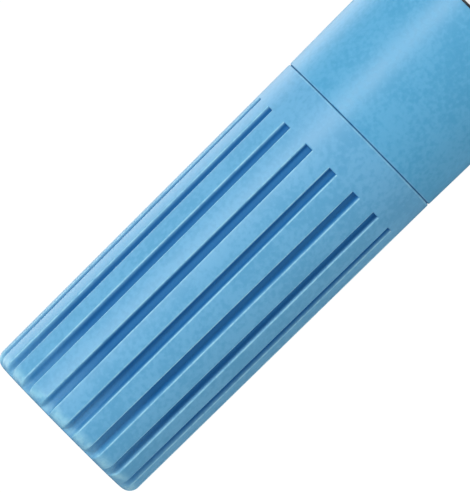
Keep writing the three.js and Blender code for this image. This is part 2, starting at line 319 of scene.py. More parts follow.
def turned(datum: Datum, outline: Iterable[Stop], columns: int, closed: bool = False) -> Surface:
    """Turns an outline round the pen's axis.

    Args:
        datum: The pen's axis.
        outline: The rings in order; a radius of 0 is a pole.
        columns: Points to a ring.
        closed: Whether the last ring joins the first.

    Returns:
        The surface, facing outwards when the outline runs up the outside.
    """
    surface = Surface()
    rows: list[list[int]] = []
    for stop in outline:
        count = 1 if stop.radius < POLE_RADIUS else columns
        angles = [math.tau * index / columns for index in range(count)]
        rows.append(
            [surface.add(datum.point(stop.station, stop.radius, a), *stop[2:]) for a in angles]
        )
    for low, high in zip(rows, rows[1:]):
        surface.bridge(low, high)
    if closed:
        surface.bridge(rows[-1], rows[0])
    return surface


class Cut(NamedTuple):
    """A ring of a fluted outline, with the channel's depth, half width and share of the painted
    shade.
    """

    stop: Stop
    depth: float = 0.0
    half_width: float = 0.0
    tone: float = 1.0


@dataclass(frozen=True)
class Channel:
    """The section of the channels cut along a fluted piece.

    Attributes:
        count: Channels round the piece.
        lean: How far each wall leans in over the full depth.
        full_depth: The depth that the lean is measured over.
        floor_fillet: Rounding at the foot of each wall.
        top_fillet: Rounding of the edges at the surface.
        inwards: True where a channel is cut towards the axis, False where it is cut outwards.
        rest_radius: Radius whose spacing of columns the uncut rings follow.
        rest_half_width: Half width of a channel where nothing is cut.
        land_steps: Columns from a channel's edge to the middle of the land beside it.
        floor_tone: Share of the painted shade along the middle of the floor.
        shade_gain: How soon the full painted shade is reached down a wall; 1 reaches it at the
            foot.
        shade_curve: Power of the painted shade down a wall.
        brow_marks: Edge mask over the rounded edge at the surface, which pales it for rubbing and
            for a painted highlight.
        least_depth: A depth for the columns' spacing where nothing is cut.
        mask_depth: Share of the full depth from which the masks are at full strength.
        floor_shares: Where the floor's columns stand, from its middle out to the foot's rounding.
        land_support: From the rounded edge to the land's first column, as a share of the rounding.
    """

    count: int
    lean: float
    full_depth: float
    floor_fillet: float
    top_fillet: float
    inwards: bool
    rest_radius: float
    rest_half_width: float
    land_steps: int = 5
    floor_tone: float = 0.9
    shade_gain: float = 1.7
    shade_curve: float = 1.3
    brow_marks: tuple = (0.2, 0.8, 1.0, 0.8, 0.2)
    least_depth: float = 0.002
    mask_depth: float = 0.5
    floor_shares: tuple = (0.0, 0.5, 0.85)
    land_support: float = 0.35

    def section(self, cut: Cut) -> list[tuple[float, float, float, float]]:
        """The right half of one channel's section at a ring.

        Args:
            cut: The ring.

        Returns:
            Columns from the channel's middle to the middle of the land: angle, radius, edge and
            painted shade.
        """
        turned_by = cut.stop.radius if cut.depth > 0 else self.rest_radius
        half_width = cut.half_width or self.rest_half_width
        deep = max(cut.depth, self.least_depth)
        scale = cut.depth / deep
        reach = turned_by * math.pi / self.count
        foot = Vector((half_width - self.lean * deep / self.full_depth, -deep))
        brow = Vector((half_width, 0.0))
        middle = Vector((0.0, -deep))
        land = Vector((reach, 0.0))
        low = bend(middle, foot, brow, self.floor_fillet)
        high = bend(foot, brow, land, self.top_fillet)
        beside = high[-1] + Vector((self.land_support * self.top_fillet, 0.0))
        floor = [middle.lerp(low[0], share) for share in self.floor_shares]
        flat = [beside.lerp(land, share) for share in spread(0.0, 1.0, self.land_steps)]
        points = [*floor, *low, *high, *flat]
        marks = [0.0] * len(floor + low) + [*self.brow_marks] + [0.0] * len(flat)
        sign = 1.0 if self.inwards else -1.0
        shown = clamped(cut.depth / (self.mask_depth * self.full_depth))
        columns = []
        for point, mark in zip(points, marks):
            radius = cut.stop.radius + sign * point.y * scale
            # Painted shade: darker down each channel's walls and over its floor, a little less in
            # the floor's middle.
            beside_wall = min(point.x / foot.x, 1.0) ** 2
            floor_tone = self.floor_tone + (1.0 - self.floor_tone) * beside_wall
            wall_shade = clamped(-self.shade_gain * point.y / deep) ** self.shade_curve
            recess = max(cut.stop.recess, cut.tone * shown * wall_shade * floor_tone)
            columns.append((point.x / turned_by, radius, max(cut.stop.edge, mark * shown), recess))
        return columns

    def sector(self, datum: Datum, rings: Sequence[Cut]) -> Surface:
        """Builds one channel and the half lands on both sides of it.

        Args:
            datum: The axis, which runs through the origin.
            rings: The piece's rings in order; a radius of 0 is a pole.

        Returns:
            The open sector, centred on straight up.
        """
        surface = Surface()
        rows: list[list[int]] = []
        for cut in rings:
            if cut.stop.radius < POLE_RADIUS:
                rows.append([surface.add(datum.point(cut.stop.station, 0.0, 0.0))])
                continue
            half = self.section(cut)
            row = []
            for angle, radius, edge, recess in [*half[:0:-1], *half]:
                turn = -angle if len(row) < len(half) - 1 else angle
                at = datum.point(cut.stop.station, radius, turn)
                row.append(surface.add(at, edge, recess))
            rows.append(row)
        for low, high in zip(rows, rows[1:]):
            surface.bridge(low, high, closed=False)
        return surface


# ---------------------------------------------------------------- node wiring


class Wiring:
    """Adds nodes to one tree and links them."""

    def __init__(self, tree: bpy.types.NodeTree) -> None:
        """Keeps the tree and empties it."""
        self.tree = tree
        tree.nodes.clear()

    def add(self, kind: str, inputs: Optional[dict] = None, **settings: object) -> bpy.types.Node:
        """Adds a node.

        Args:
            kind: The node's type.
            inputs: What goes into its sockets, by name or number: a socket to link or a value.
            **settings: The node's own properties.

        Returns:
            The node.
        """
        node = self.tree.nodes.new(kind)
        for name, value in settings.items():
            setattr(node, name, value)
        for key, plug in (inputs or {}).items():
            self.feed(node.inputs[key], plug)
        return node

    def feed(self, socket: bpy.types.NodeSocket, plug: Plug) -> None:
        """Links a socket to another, or sets its value.

        Args:
            socket: The input socket.
            plug: What goes into it.
        """
        if isinstance(plug, bpy.types.NodeSocket):
            self.tree.links.new(plug, socket)
        else:
            socket.default_value = plug

    def math(self, operation: str, *plugs: Plug, clamp: bool = False) -> bpy.types.NodeSocket:
        """Adds a Math node.

        Args:
            operation: The operation's name.
            *plugs: Its one to three inputs.
            clamp: Whether the result is kept between 0 and 1.

        Returns:
            Its output.
        """
        node = self.add("ShaderNodeMath", dict(enumerate(plugs)), operation=operation)
        node.use_clamp = clamp
        return node.outputs[0]

    def ramp(self, value: Plug, low: float, high: float, to: tuple = (0.0, 1.0)) -> Plug:
        """Maps a range to another smoothly.

        Args:
            value: What is mapped.
            low: The value that gives to[0].
            high: The value that gives to[1].
            to: The two results.

        Returns:
            The mapped value's socket.
        """
        inputs = {0: value, 1: low, 2: high, 3: to[0], 4: to[1]}
        node = self.add("ShaderNodeMapRange", inputs, interpolation_type="SMOOTHSTEP")
        return node.outputs[0]

    def mix(self, share: Plug, first: Plug, second: Plug, blend: str = "MIX") -> Plug:
        """Mixes two colours.

        Args:
            share: How much of the second, 0 to 1.
            first: A colour.
            second: A colour.
            blend: How the second is laid over the first.

        Returns:
            The mixed colour's socket.
        """
        inputs = {0: share, 6: first, 7: second}
        node = self.add("ShaderNodeMix", inputs, data_type="RGBA", blend_type=blend)
        return node.outputs[2]

    def noise(self, vector: Plug, scale: Plug, detail: float = 2.0, rough: float = 0.5) -> Plug:
        """Adds a noise texture.

        Args:
            vector: Where it is read.
            scale: Its scale, per metre.
            detail: Its octaves.
            rough: How much the finer octaves count.

        Returns:
            Its value's socket.
        """
        inputs = {"Vector": vector, "Scale": scale, "Detail": detail, "Roughness": rough}
        return self.add("ShaderNodeTexNoise", inputs).outputs[0]

    def stretch(self, vector: Plug, scale: tuple, turn: tuple = (0.0, 0.0, 0.0)) -> Plug:
        """Scales and turns a pattern's coordinates.

        Args:
            vector: The coordinates.
            scale: The three scales.
            turn: The three angles in radians.

        Returns:
            The new coordinates' socket.
        """
        inputs = {"Vector": vector, "Scale": scale, "Rotation": turn}
        return self.add("ShaderNodeMapping", inputs).outputs[0]


class EffectGroup:
    """A shader node group with named inputs and outputs, built once.

    Attributes:
        title: The group's name.
        inputs: For each input its type and its value where nothing is given.
        outputs: For each output its type.
    """

    title = "Effect"
    inputs: dict[str, tuple[str, Plug]] = {}
    outputs: dict[str, str] = {}

    def __init__(self) -> None:
        """Builds the group's tree."""
        self.tree = bpy.data.node_groups.new(self.title, "ShaderNodeTree")
        face = self.tree.interface
        for name, (kind, value) in self.inputs.items():
            socket = face.new_socket(name=name, in_out="INPUT", socket_type=kind)
            if kind == "NodeSocketFloat":
                socket.default_value = value
        for name, kind in self.outputs.items():
            face.new_socket(name=name, in_out="OUTPUT", socket_type=kind)
        wiring = Wiring(self.tree)
        given = wiring.add("NodeGroupInput").outputs
        made = self.wire(wiring, given)
        wiring.add("NodeGroupOutput", made)

    def wire(self, wiring: Wiring, given: bpy.types.NodeOutputs) -> dict[str, Plug]:
        """Adds the effect's nodes; each effect has its own."""
        raise NotImplementedError

    def place(self, wiring: Wiring, **plugs: Plug) -> bpy.types.NodeOutputs:
        """Puts the group into a material.

        Args:
            wiring: The material's wiring.
            **plugs: Its inputs, with underscores for spaces in their names.

        Returns:
            The group node's outputs.
        """
        inputs = {name.replace("_", " "): plug for name, plug in plugs.items()}
        node = wiring.add("ShaderNodeGroup", node_tree=self.tree)
        for name, plug in inputs.items():
            wiring.feed(node.inputs[name], plug)
        return node.outputs


class MouldGrain(EffectGroup):
    """The fine bloom of a moulded surface, with cloudy pigment."""

    title = "Mould grain"
    inputs = {
        "Vector": ("NodeSocketVector", None),
        "Grain Scale": ("NodeSocketFloat", 9000.0),
        "Cloud Scale": ("NodeSocketFloat", 260.0),
    }
    outputs = {"Height": "NodeSocketFloat", "Cloud": "NodeSocketFloat"}

    def wire(self, wiring: Wiring, given: bpy.types.NodeOutputs) -> dict[str, Plug]:
        """Wires fine and medium noise to Height, and slow noise with mottle to Cloud.

        Args:
            wiring: The group's wiring.
            given: The group's inputs.

        Returns:
            Height and Cloud.
        """
        fine = wiring.noise(given["Vector"], given["Grain Scale"], 3.0, 0.6)
        third = wiring.math("MULTIPLY", given["Grain Scale"], 0.28)
        medium = wiring.noise(given["Vector"], third, 2.0, 0.5)
        slow = wiring.noise(given["Vector"], given["Cloud Scale"], 3.0, 0.55)
        height = wiring.math("MULTIPLY_ADD", medium, 0.8, wiring.math("MULTIPLY", fine, 0.5))
        mottle = wiring.math("MULTIPLY_ADD", medium, 0.55, wiring.math("MULTIPLY", slow, 0.45))
        return {"Height": height, "Cloud": wiring.ramp(mottle, 0.40, 0.60)}


class EdgeWearAndHighlight(EffectGroup):
    """Where outer edges are paler, from rubbing and from a painted highlight, broken up by noise.
    """

    title = "Edge wear"
    inputs = {
        "Vector": ("NodeSocketVector", None),
        "Edge": ("NodeSocketFloat", 0.0),
        "Breakup Scale": ("NodeSocketFloat", 1400.0),
        "Amount": ("NodeSocketFloat", 0.5),
    }
    outputs = {"Wear": "NodeSocketFloat"}

    def wire(self, wiring: Wiring, given: bpy.types.NodeOutputs) -> dict[str, Plug]:
        """Wires the edge mask times noise to Wear.

        Args:
            wiring: The group's wiring.
            given: The group's inputs.

        Returns:
            Wear.
        """
        patch = wiring.noise(given["Vector"], given["Breakup Scale"], 4.0, 0.6)
        broken = wiring.ramp(patch, 0.3, 0.62, (0.35, 1.0))
        # The edge mask pales edges for rubbing and for a painted highlight.
        worn_and_lit = wiring.math("MULTIPLY", given["Edge"], broken)
        return {"Wear": wiring.math("MULTIPLY", worn_and_lit, given["Amount"], clamp=True)}


class HairScratches(EffectGroup):
    """Sparse fine scratches from handling, in two directions.

    Attributes:
        directions: How the noise of each direction is stretched and turned.
        slice_width: Height of the slice of noise that is drawn as a scratch.
    """

    title = "Hair scratches"
    inputs = {
        "Vector": ("NodeSocketVector", None),
        "Scale": ("NodeSocketFloat", 1.0),
        "Amount": ("NodeSocketFloat", 0.5),
    }
    outputs = {"Scratch": "NodeSocketFloat"}
    directions = (
        ((140.0, 2600.0, 2600.0), (0.2, 0.3, 0.5)),
        ((2600.0, 160.0, 900.0), (0.9, 0.4, 1.1)),
    )
    slice_width = 0.012

    def wire(self, wiring: Wiring, given: bpy.types.NodeOutputs) -> dict[str, Plug]:
        """Wires thin slices of stretched noise, kept in patches, to Scratch.

        Args:
            wiring: The group's wiring.
            given: The group's inputs.

        Returns:
            Scratch.
        """
        sized = wiring.add("ShaderNodeVectorMath", {0: given["Vector"]}, operation="SCALE")
        wiring.feed(sized.inputs["Scale"], given["Scale"])
        lines: list[Plug] = []
        for scale, turn in self.directions:
            drawn = wiring.noise(wiring.stretch(sized.outputs[0], scale, turn), 1.0, 1.0, 0.4)
            offset = wiring.math("ABSOLUTE", wiring.math("SUBTRACT", drawn, 0.5))
            lines.append(wiring.ramp(offset, self.slice_width, 0.0))
        patch = wiring.ramp(wiring.noise(given["Vector"], 420.0, 2.0), 0.52, 0.68)
        both = wiring.math("MAXIMUM", lines[0], lines[1])
        kept = wiring.math("MULTIPLY", both, patch)
        return {"Scratch": wiring.math("MULTIPLY", kept, given["Amount"], clamp=True)}


class FibreStreaks(EffectGroup):
    """Bundled fibres that run along the pen."""

    title = "Fibre streaks"
    inputs = {
        "Vector": ("NodeSocketVector", None),
        "Across": ("NodeSocketFloat", 9000.0),
        "Along": ("NodeSocketFloat", 500.0),
    }
    outputs = {"Height": "NodeSocketFloat", "Streak": "NodeSocketFloat"}

    def wire(self, wiring: Wiring, given: bpy.types.NodeOutputs) -> dict[str, Plug]:
        """Wires noise that is long along the pen to Height and Streak.

        Args:
            wiring: The group's wiring.
            given: The group's inputs.

        Returns:
            Height and Streak.
        """
        sides = {"X": given["Along"], "Y": given["Across"], "Z": given["Across"]}
        scale = wiring.add("ShaderNodeCombineXYZ", sides).outputs[0]
        parts = {0: given["Vector"], 1: scale}
        spaced = wiring.add("ShaderNodeVectorMath", parts, operation="MULTIPLY")
        fibre = wiring.noise(spaced.outputs[0], 1.0, 3.0, 0.6)
        return {"Height": fibre, "Streak": wiring.ramp(fibre, 0.35, 0.65)}


@dataclass(frozen=True)
class Effects:
    """The shared shader groups."""

    grain: MouldGrain
    wear_and_highlight: EdgeWearAndHighlight
    scratches: HairScratches
    fibres: FibreStreaks

    @classmethod
    def build(cls) -> "Effects":
        """Builds each group once."""
        return cls(MouldGrain(), EdgeWearAndHighlight(), HairScratches(), FibreStreaks())


# ---------------------------------------------------------------- finishes


def new_material(name: str) -> tuple[bpy.types.Material, Wiring, bpy.types.NodeSocket]:
    """Starts a node material.

    Args:
        name: Its name.

    Returns:
        The material, its wiring and its Object coordinates.
    """
    material = bpy.data.materials.new(name)
    material.use_nodes = True
    wiring = Wiring(material.node_tree)
    place = wiring.add("ShaderNodeTexCoord").outputs["Object"]
    return material, wiring, place


def attribute(wiring: Wiring, name: str) -> bpy.types.Node:
    """Adds an Attribute node that reads a mesh's own attribute."""
    return wiring.add("ShaderNodeAttribute", attribute_name=name, attribute_type="GEOMETRY")


def relief(wiring: Wiring, height: Plug, depth: float) -> Plug:
    """Adds a Bump node for a relief of so many micrometres and returns its normal."""
    return wiring.add("ShaderNodeBump", {"Height": height, "Distance": depth * MICRON}).outputs[0]


def coat(wiring: Wiring, sockets: dict[str, Plug]) -> None:
    """Ends a material with a Principled shader, whose sockets are given by name."""
    shader = wiring.add("ShaderNodeBsdfPrincipled", sockets)
    wiring.add("ShaderNodeOutputMaterial", {"Surface": shader.outputs[0]})


@dataclass(frozen=True)
class MouldedPlastic:
    """Injection-moulded plastic with a soft sheen.

    Attributes:
        name: The material's name.
        colour: Its pigment.
        cloud: The pigment's cloudy second tone.
        worn_and_lit: What edges pale to, from rubbing and from a painted highlight.
        deep: The painted shade colour, laid down in a channel and along seams.
        roughness: Of the clean surface.
        gloss: Strength of its reflections; 0.5 is plain plastic.
        scatter: Share of light that scatters under the surface.
        scatter_depth: How far it goes, in millimetres.
        grain_depth: Relief of the moulded grain, in micrometres.
        wear_and_highlight: How much the edges pale, from rubbing and from a painted highlight.
        scratches: How strong the scratches are.
        cloud_roughness: How much the roughness varies with the cloudy pigment.
        scratch_roughness: How much a scratch adds to the roughness.
        deep_roughness: How much the painted shade mask adds to the roughness.
        scratch_relief: How deep a scratch is, as a share of the grain.
    """

    name: str
    colour: tuple
    cloud: tuple
    worn_and_lit: tuple
    deep: tuple
    roughness: float = 0.38
    gloss: float = 0.6
    scatter: float = 0.12
    scatter_depth: float = 0.35
    grain_depth: float = 1.2
    wear_and_highlight: float = 0.45
    scratches: float = 0.35
    cloud_roughness: float = 0.05
    scratch_roughness: float = 0.18
    deep_roughness: float = 0.4
    scratch_relief: float = 0.8

    def build(self, effects: Effects) -> bpy.types.Material:
        """Builds the material.

        Args:
            effects: The shared groups.

        Returns:
            The material.
        """
        material, wiring, place = new_material(self.name)
        grain = effects.grain.place(wiring, Vector=place)
        edge = attribute(wiring, "edge").outputs["Fac"]
        worn_and_lit = effects.wear_and_highlight.place(wiring, Vector=place, Edge=edge, Amount=self.wear_and_highlight)["Wear"]
        lines = effects.scratches.place(wiring, Vector=place, Amount=self.scratches)["Scratch"]
        # Painted shade: where this mask is high, down channels and along seams, the darkest colour
        # is painted in.
        recess = attribute(wiring, "recess").outputs["Fac"]
        base = wiring.mix(grain["Cloud"], self.colour, self.cloud)
        base = wiring.mix(recess, base, self.deep)
        # Paler edges, for rubbing and for a painted highlight, kept off the painted shade.
        rubbed_and_lit = wiring.math("MULTIPLY", worn_and_lit, wiring.math("SUBTRACT", 1.0, recess))
        base = wiring.mix(rubbed_and_lit, base, self.worn_and_lit)
        least = self.roughness - self.cloud_roughness / 2
        rough = wiring.math("MULTIPLY_ADD", grain["Cloud"], self.cloud_roughness, least)
        rough = wiring.math("MULTIPLY_ADD", lines, self.scratch_roughness, rough)
        rough = wiring.math("MULTIPLY_ADD", recess, self.deep_roughness, rough)
        height = wiring.math("MULTIPLY_ADD", lines, -self.scratch_relief, grain["Height"])
        coat(
            wiring,
            {
                "Base Color": base,
                "Roughness": rough,
                "Normal": relief(wiring, height, self.grain_depth),
                "IOR": 1.5,
                "Specular IOR Level": self.gloss,
                "Subsurface Weight": self.scatter,
                "Subsurface Radius": (0.6, 0.9, 1.0),
                "Subsurface Scale": self.scatter_depth * MM,
            },
        )
        return material


@dataclass(frozen=True)
class InkedFibre:
    """Bonded fibre soaked with ink.

    Attributes:
        name: The material's name.
        wet: Colour between the fibres.
        dry: Colour of the fibres' tops.
        across: Fibres to a metre across.
        depth: Relief, in micrometres.
        roughness: Between the fibres; their tops add to it.
        sheen: How much the loose ends catch the light.
    """

    name: str
    wet: tuple
    dry: tuple
    across: float = 9000.0
    depth: float = 14.0
    roughness: float = 0.72
    sheen: float = 0.2

    def build(self, effects: Effects) -> bpy.types.Material:
        """Builds the material.

        Args:
            effects: The shared groups.

        Returns:
            The material.
        """
        material, wiring, place = new_material(self.name)
        streaks = effects.fibres.place(wiring, Vector=place, Across=self.across)
        blotch = wiring.ramp(wiring.noise(place, 700.0, 3.0), 0.4, 0.65, (0.7, 1.0))
        tone = wiring.mix(wiring.math("MULTIPLY", streaks["Streak"], blotch), self.wet, self.dry)
        rough = wiring.math("MULTIPLY_ADD", streaks["Streak"], 0.15, self.roughness)
        normal = relief(wiring, streaks["Height"], self.depth)
        sockets = {"Base Color": tone, "Roughness": rough, "Normal": normal}
        coat(wiring, {**sockets, "Sheen Weight": self.sheen})
        return material


@dataclass(frozen=True)
class ThinFilm:
    """Clear wrapping film and tubing, a little milky.

    Attributes:
        name: The material's name.
        tint: Its colour.
        milky: The colour of its cloudy patches.
        clearness: Share of light that passes through.
        roughness: Of the clean film; scratches add to it.
        depth: Relief, in micrometres.
    """

    name: str
    tint: tuple
    milky: tuple
    clearness: float = 0.7
    roughness: float = 0.2
    depth: float = 3.0

    def build(self, effects: Effects) -> bpy.types.Material:
        """Builds the material.

        Args:
            effects: The shared groups.

        Returns:
            The material.
        """
        material, wiring, place = new_material(self.name)
        grain = effects.grain.place(wiring, Vector=place, Grain_Scale=4000.0, Cloud_Scale=400.0)
        lines = effects.scratches.place(wiring, Vector=place, Amount=0.6)["Scratch"]
        tone = wiring.mix(grain["Cloud"], self.tint, self.milky)
        rough = wiring.math("MULTIPLY_ADD", lines, 0.3, self.roughness)
        normal = relief(wiring, grain["Height"], self.depth)
        sockets = {"Base Color": tone, "Roughness": rough, "Normal": normal, "IOR": 1.45}
        coat(wiring, {**sockets, "Transmission Weight": self.clearness})
        return material


@dataclass(frozen=True)
class PanelPrint:
    """The label's film and print: a black outline, two rows of stitches and an ink swatch.

    Attributes:
        name: The material's name.
        length: The panel's length.
        width: Its width round the barrel.
        corner: Rounding of its corners.
        outline: Width of the black outline.
        blur: Half width of the soft border of the outline and of a row of stitches.
        stitch_inset: From the panel's sides to the rows of stitches.
        stitch_width: Width of a stitch.
        stitch_pitch: From one stitch to the next.
        stitch_gap: Between two stitches.
        stitch_end: From the panel's ends to the ends of a row.
        swatch_inset: From the panel's tail end to the middle of the ink swatch.
        swatch_radius: Radius of the swatch.
        paper: Colour of the white field.
        ink: Colour of the outline and the stitches.
        swatch: Colour of the ink swatch.
        roughness: Of the clean film; scratches add to it.
        gloss: Strength of its reflections; 0.5 is plain plastic.
        depth: Relief, in micrometres.
    """

    name: str
    length: float
    width: float
    corner: float
    outline: float = 0.2
    blur: float = 0.02
    stitch_inset: float = 1.6
    stitch_width: float = 0.22
    stitch_pitch: float = 2.6
    stitch_gap: float = 1.06
    stitch_end: float = 1.9
    swatch_inset: float = 6.0
    swatch_radius: float = 2.45
    paper: tuple = (0.86, 0.87, 0.87, 1.0)
    ink: tuple = (0.010, 0.010, 0.012, 1.0)
    swatch: tuple = (0.05, 0.20, 0.62, 1.0)
    roughness: float = 0.33
    gloss: float = 0.3
    depth: float = 1.0

    def build(self, effects: Effects) -> bpy.types.Material:
        """Builds the material.

        Args:
            effects: The shared groups.

        Returns:
            The material.
        """
        material, wiring, place = new_material(self.name)
        panel = attribute(wiring, "panel").outputs["Vector"]
        axes = wiring.add("ShaderNodeSeparateXYZ", {0: panel}).outputs
        along, across = axes["X"], axes["Y"]
        inside = self._inside(wiring, along, across)
        feather = wiring.math("MULTIPLY_ADD", wiring.noise(place, 9000.0, 2.0), 0.03, -0.015)
        frayed = wiring.math("ADD", inside, feather)
        outline = wiring.ramp(frayed, self.outline + self.blur, self.outline - self.blur)
        stitches = self._stitches(wiring, along, across)
        disc = self._swatch(wiring, along, across)
        grain = effects.grain.place(wiring, Vector=place, Grain_Scale=5000.0, Cloud_Scale=300.0)
        lines = effects.scratches.place(wiring, Vector=place, Amount=0.3)["Scratch"]
        aged = tuple(0.95 * value for value in self.paper[:3]) + (1.0,)
        tone = wiring.mix(grain["Cloud"], self.paper, aged)
        tone = wiring.mix(disc, tone, self.swatch)
        tone = wiring.mix(wiring.math("MAXIMUM", outline, stitches), tone, self.ink)
        rough = wiring.math("MULTIPLY_ADD", lines, 0.25, self.roughness)
        normal = relief(wiring, grain["Height"], self.depth)
        sockets = {"Base Color": tone, "Roughness": rough, "Normal": normal}
        coat(wiring, {**sockets, "Specular IOR Level": self.gloss})
        return material

    def _inside(self, wiring: Wiring, along: Plug, across: Plug) -> Plug:
        """Measures the distance in from the panel's rounded border.

        Args:
            wiring: The material's wiring.
            along: Distance from the panel's middle along the pen.
            across: Distance from its middle round the barrel.

        Returns:
            The distance's socket.
        """
        reach = []
        for plug, size in ((along, self.length), (across, self.width)):
            offset = wiring.math("ABSOLUTE", plug)
            reach.append(wiring.math("SUBTRACT", offset, size / 2 - self.corner))
        beyond = [wiring.math("MAXIMUM", plug, 0.0) for plug in reach]
        squares = wiring.math("MULTIPLY", beyond[0], beyond[0])
        total = wiring.math("MULTIPLY_ADD", beyond[1], beyond[1], squares)
        inner = wiring.math("MINIMUM", wiring.math("MAXIMUM", *reach), 0.0)
        distance = wiring.math("ADD", wiring.math("SQRT", total), inner)
        return wiring.math("SUBTRACT", self.corner, distance)

    def _stitches(self, wiring: Wiring, along: Plug, across: Plug) -> Plug:
        """Draws a line of stitches along each side of the panel.

        Args:
            wiring: The material's wiring.
            along: Distance from the panel's middle along the pen.
            across: Distance from its middle round the barrel.

        Returns:
            The stitches' mask.
        """
        row = self.width / 2 - self.stitch_inset
        side = wiring.math("SUBTRACT", wiring.math("ABSOLUTE", across), row)
        half = self.stitch_width / 2
        line = wiring.ramp(wiring.math("ABSOLUTE", side), half + self.blur, half - self.blur)
        phase = wiring.math("PINGPONG", along, self.stitch_pitch / 2)
        dash = wiring.ramp(phase, self.stitch_gap / 2 - 0.03, self.stitch_gap / 2 + 0.03)
        reach = self.length / 2 - self.stitch_end
        ends = wiring.ramp(wiring.math("ABSOLUTE", along), reach, reach - 0.1)
        return wiring.math("MULTIPLY", wiring.math("MULTIPLY", line, dash), ends)

    def _swatch(self, wiring: Wiring, along: Plug, across: Plug) -> Plug:
        """Draws a round swatch of the ink's colour towards the tail end.

        Args:
            wiring: The material's wiring.
            along: Distance from the panel's middle along the pen.
            across: Distance from its middle round the barrel.

        Returns:
            The swatch's mask.
        """
        shift = wiring.math("SUBTRACT", along, self.length / 2 - self.swatch_inset)
        squares = wiring.math("MULTIPLY", shift, shift)
        total = wiring.math("MULTIPLY_ADD", across, across, squares)
        radius = self.swatch_radius
        return wiring.ramp(wiring.math("SQRT", total), radius, radius - 0.07)


# ---------------------------------------------------------------- geometry nodes


class ShapeTree:
    """A Geometry Nodes tree with named inputs, which turns one mesh into another plain mesh.

    Attributes:
        title: The tree's name.
        inputs: For each input its type, apart from the mesh and its finish.
    """

    title = "Shape"
    inputs: dict[str, str] = {}

    def __init__(self) -> None:
        """Builds the tree."""
        self.tree = bpy.data.node_groups.new(self.title, "GeometryNodeTree")
        face = self.tree.interface
        face.new_socket(name="Mesh", in_out="INPUT", socket_type="NodeSocketGeometry")
        for name, kind in self.inputs.items():
            face.new_socket(name=name, in_out="INPUT", socket_type=kind)
        face.new_socket(name="Finish", in_out="INPUT", socket_type="NodeSocketMaterial")
        face.new_socket(name="Mesh", in_out="OUTPUT", socket_type="NodeSocketGeometry")
        wiring = Wiring(self.tree)
        given = wiring.add("NodeGroupInput").outputs
        shaped = self.wire(wiring, given)
        real = wiring.add("GeometryNodeRealizeInstances", {0: shaped}).outputs[0]
        smooth = wiring.add("GeometryNodeSetShadeSmooth", {0: real}).outputs[0]
        dressed = wiring.add(
            "GeometryNodeSetMaterial", {"Geometry": smooth, "Material": given["Finish"]}
        )
        wiring.add("NodeGroupOutput", {0: dressed.outputs[0]})

    def wire(self, wiring: Wiring, given: bpy.types.NodeOutputs) -> Plug:
        """Adds the nodes that shape the mesh; each tree has its own."""
        raise NotImplementedError

    def bake(
        self, name: str, mesh: bpy.types.Mesh, finish: bpy.types.Material, **values: object
    ) -> bpy.types.Mesh:
        """Runs the tree on a mesh.

        Args:
            name: The name of the result.
            mesh: The mesh that goes in.
            finish: The material of the result.
            **values: The named inputs, with underscores for spaces.

        Returns:
            The plain mesh.
        """
        carrier = bpy.data.objects.new(name + "_carrier", mesh)
        bpy.context.scene.collection.objects.link(carrier)
        modifier = carrier.modifiers.new("Shape", "NODES")
        modifier.node_group = self.tree
        wanted = {key.replace("_", " "): value for key, value in values.items()}
        wanted["Finish"] = finish
        for item in self.tree.interface.items_tree:
            if item.in_out == "INPUT" and item.name in wanted:
                modifier[item.identifier] = wanted[item.name]
        graph = bpy.context.evaluated_depsgraph_get()
        graph.update()
        baked = bpy.data.meshes.new_from_object(carrier.evaluated_get(graph), depsgraph=graph)
        baked.name = name
        bpy.data.objects.remove(carrier)
        bpy.data.meshes.remove(mesh)
        return baked


class SectorRing(ShapeTree):
    """Sets copies of a sector round the X axis, joins them and lifts them to the pen's axis."""

    title = "Sector ring"
    inputs = {
        "Count": "NodeSocketInt",
        "First Angle": "NodeSocketFloat",
        "Axis Height": "NodeSocketFloat",
        "Merge Distance": "NodeSocketFloat",
    }

    def wire(self, wiring: Wiring, given: bpy.types.NodeOutputs) -> Plug:
        """Turns one copy on each point, then merges the seams.

        Args:
            wiring: The tree's wiring.
            given: The tree's inputs.

        Returns:
            The whole ring's socket.
        """
        points = wiring.add("GeometryNodePoints", {"Count": given["Count"]}).outputs[0]
        index = wiring.add("GeometryNodeInputIndex").outputs[0]
        step = wiring.math("DIVIDE", math.tau, given["Count"])
        angle = wiring.math("MULTIPLY_ADD", index, step, given["First Angle"])
        euler = wiring.add("ShaderNodeCombineXYZ", {"X": angle}).outputs[0]
        turn = wiring.add("FunctionNodeEulerToRotation", {0: euler}).outputs[0]
        copies = wiring.add(
            "GeometryNodeInstanceOnPoints",
            {"Points": points, "Instance": given["Mesh"], "Rotation": turn},
        )
        real = wiring.add("GeometryNodeRealizeInstances", {0: copies.outputs[0]}).outputs[0]
        joined = wiring.add(
            "GeometryNodeMergeByDistance",
            {"Geometry": real, "Distance": given["Merge Distance"]},
        )
        lift = wiring.add("ShaderNodeCombineXYZ", {"Z": given["Axis Height"]}).outputs[0]
        moved = wiring.add(
            "GeometryNodeTransform", {"Geometry": joined.outputs[0], "Translation": lift}
        )
        return moved.outputs[0]


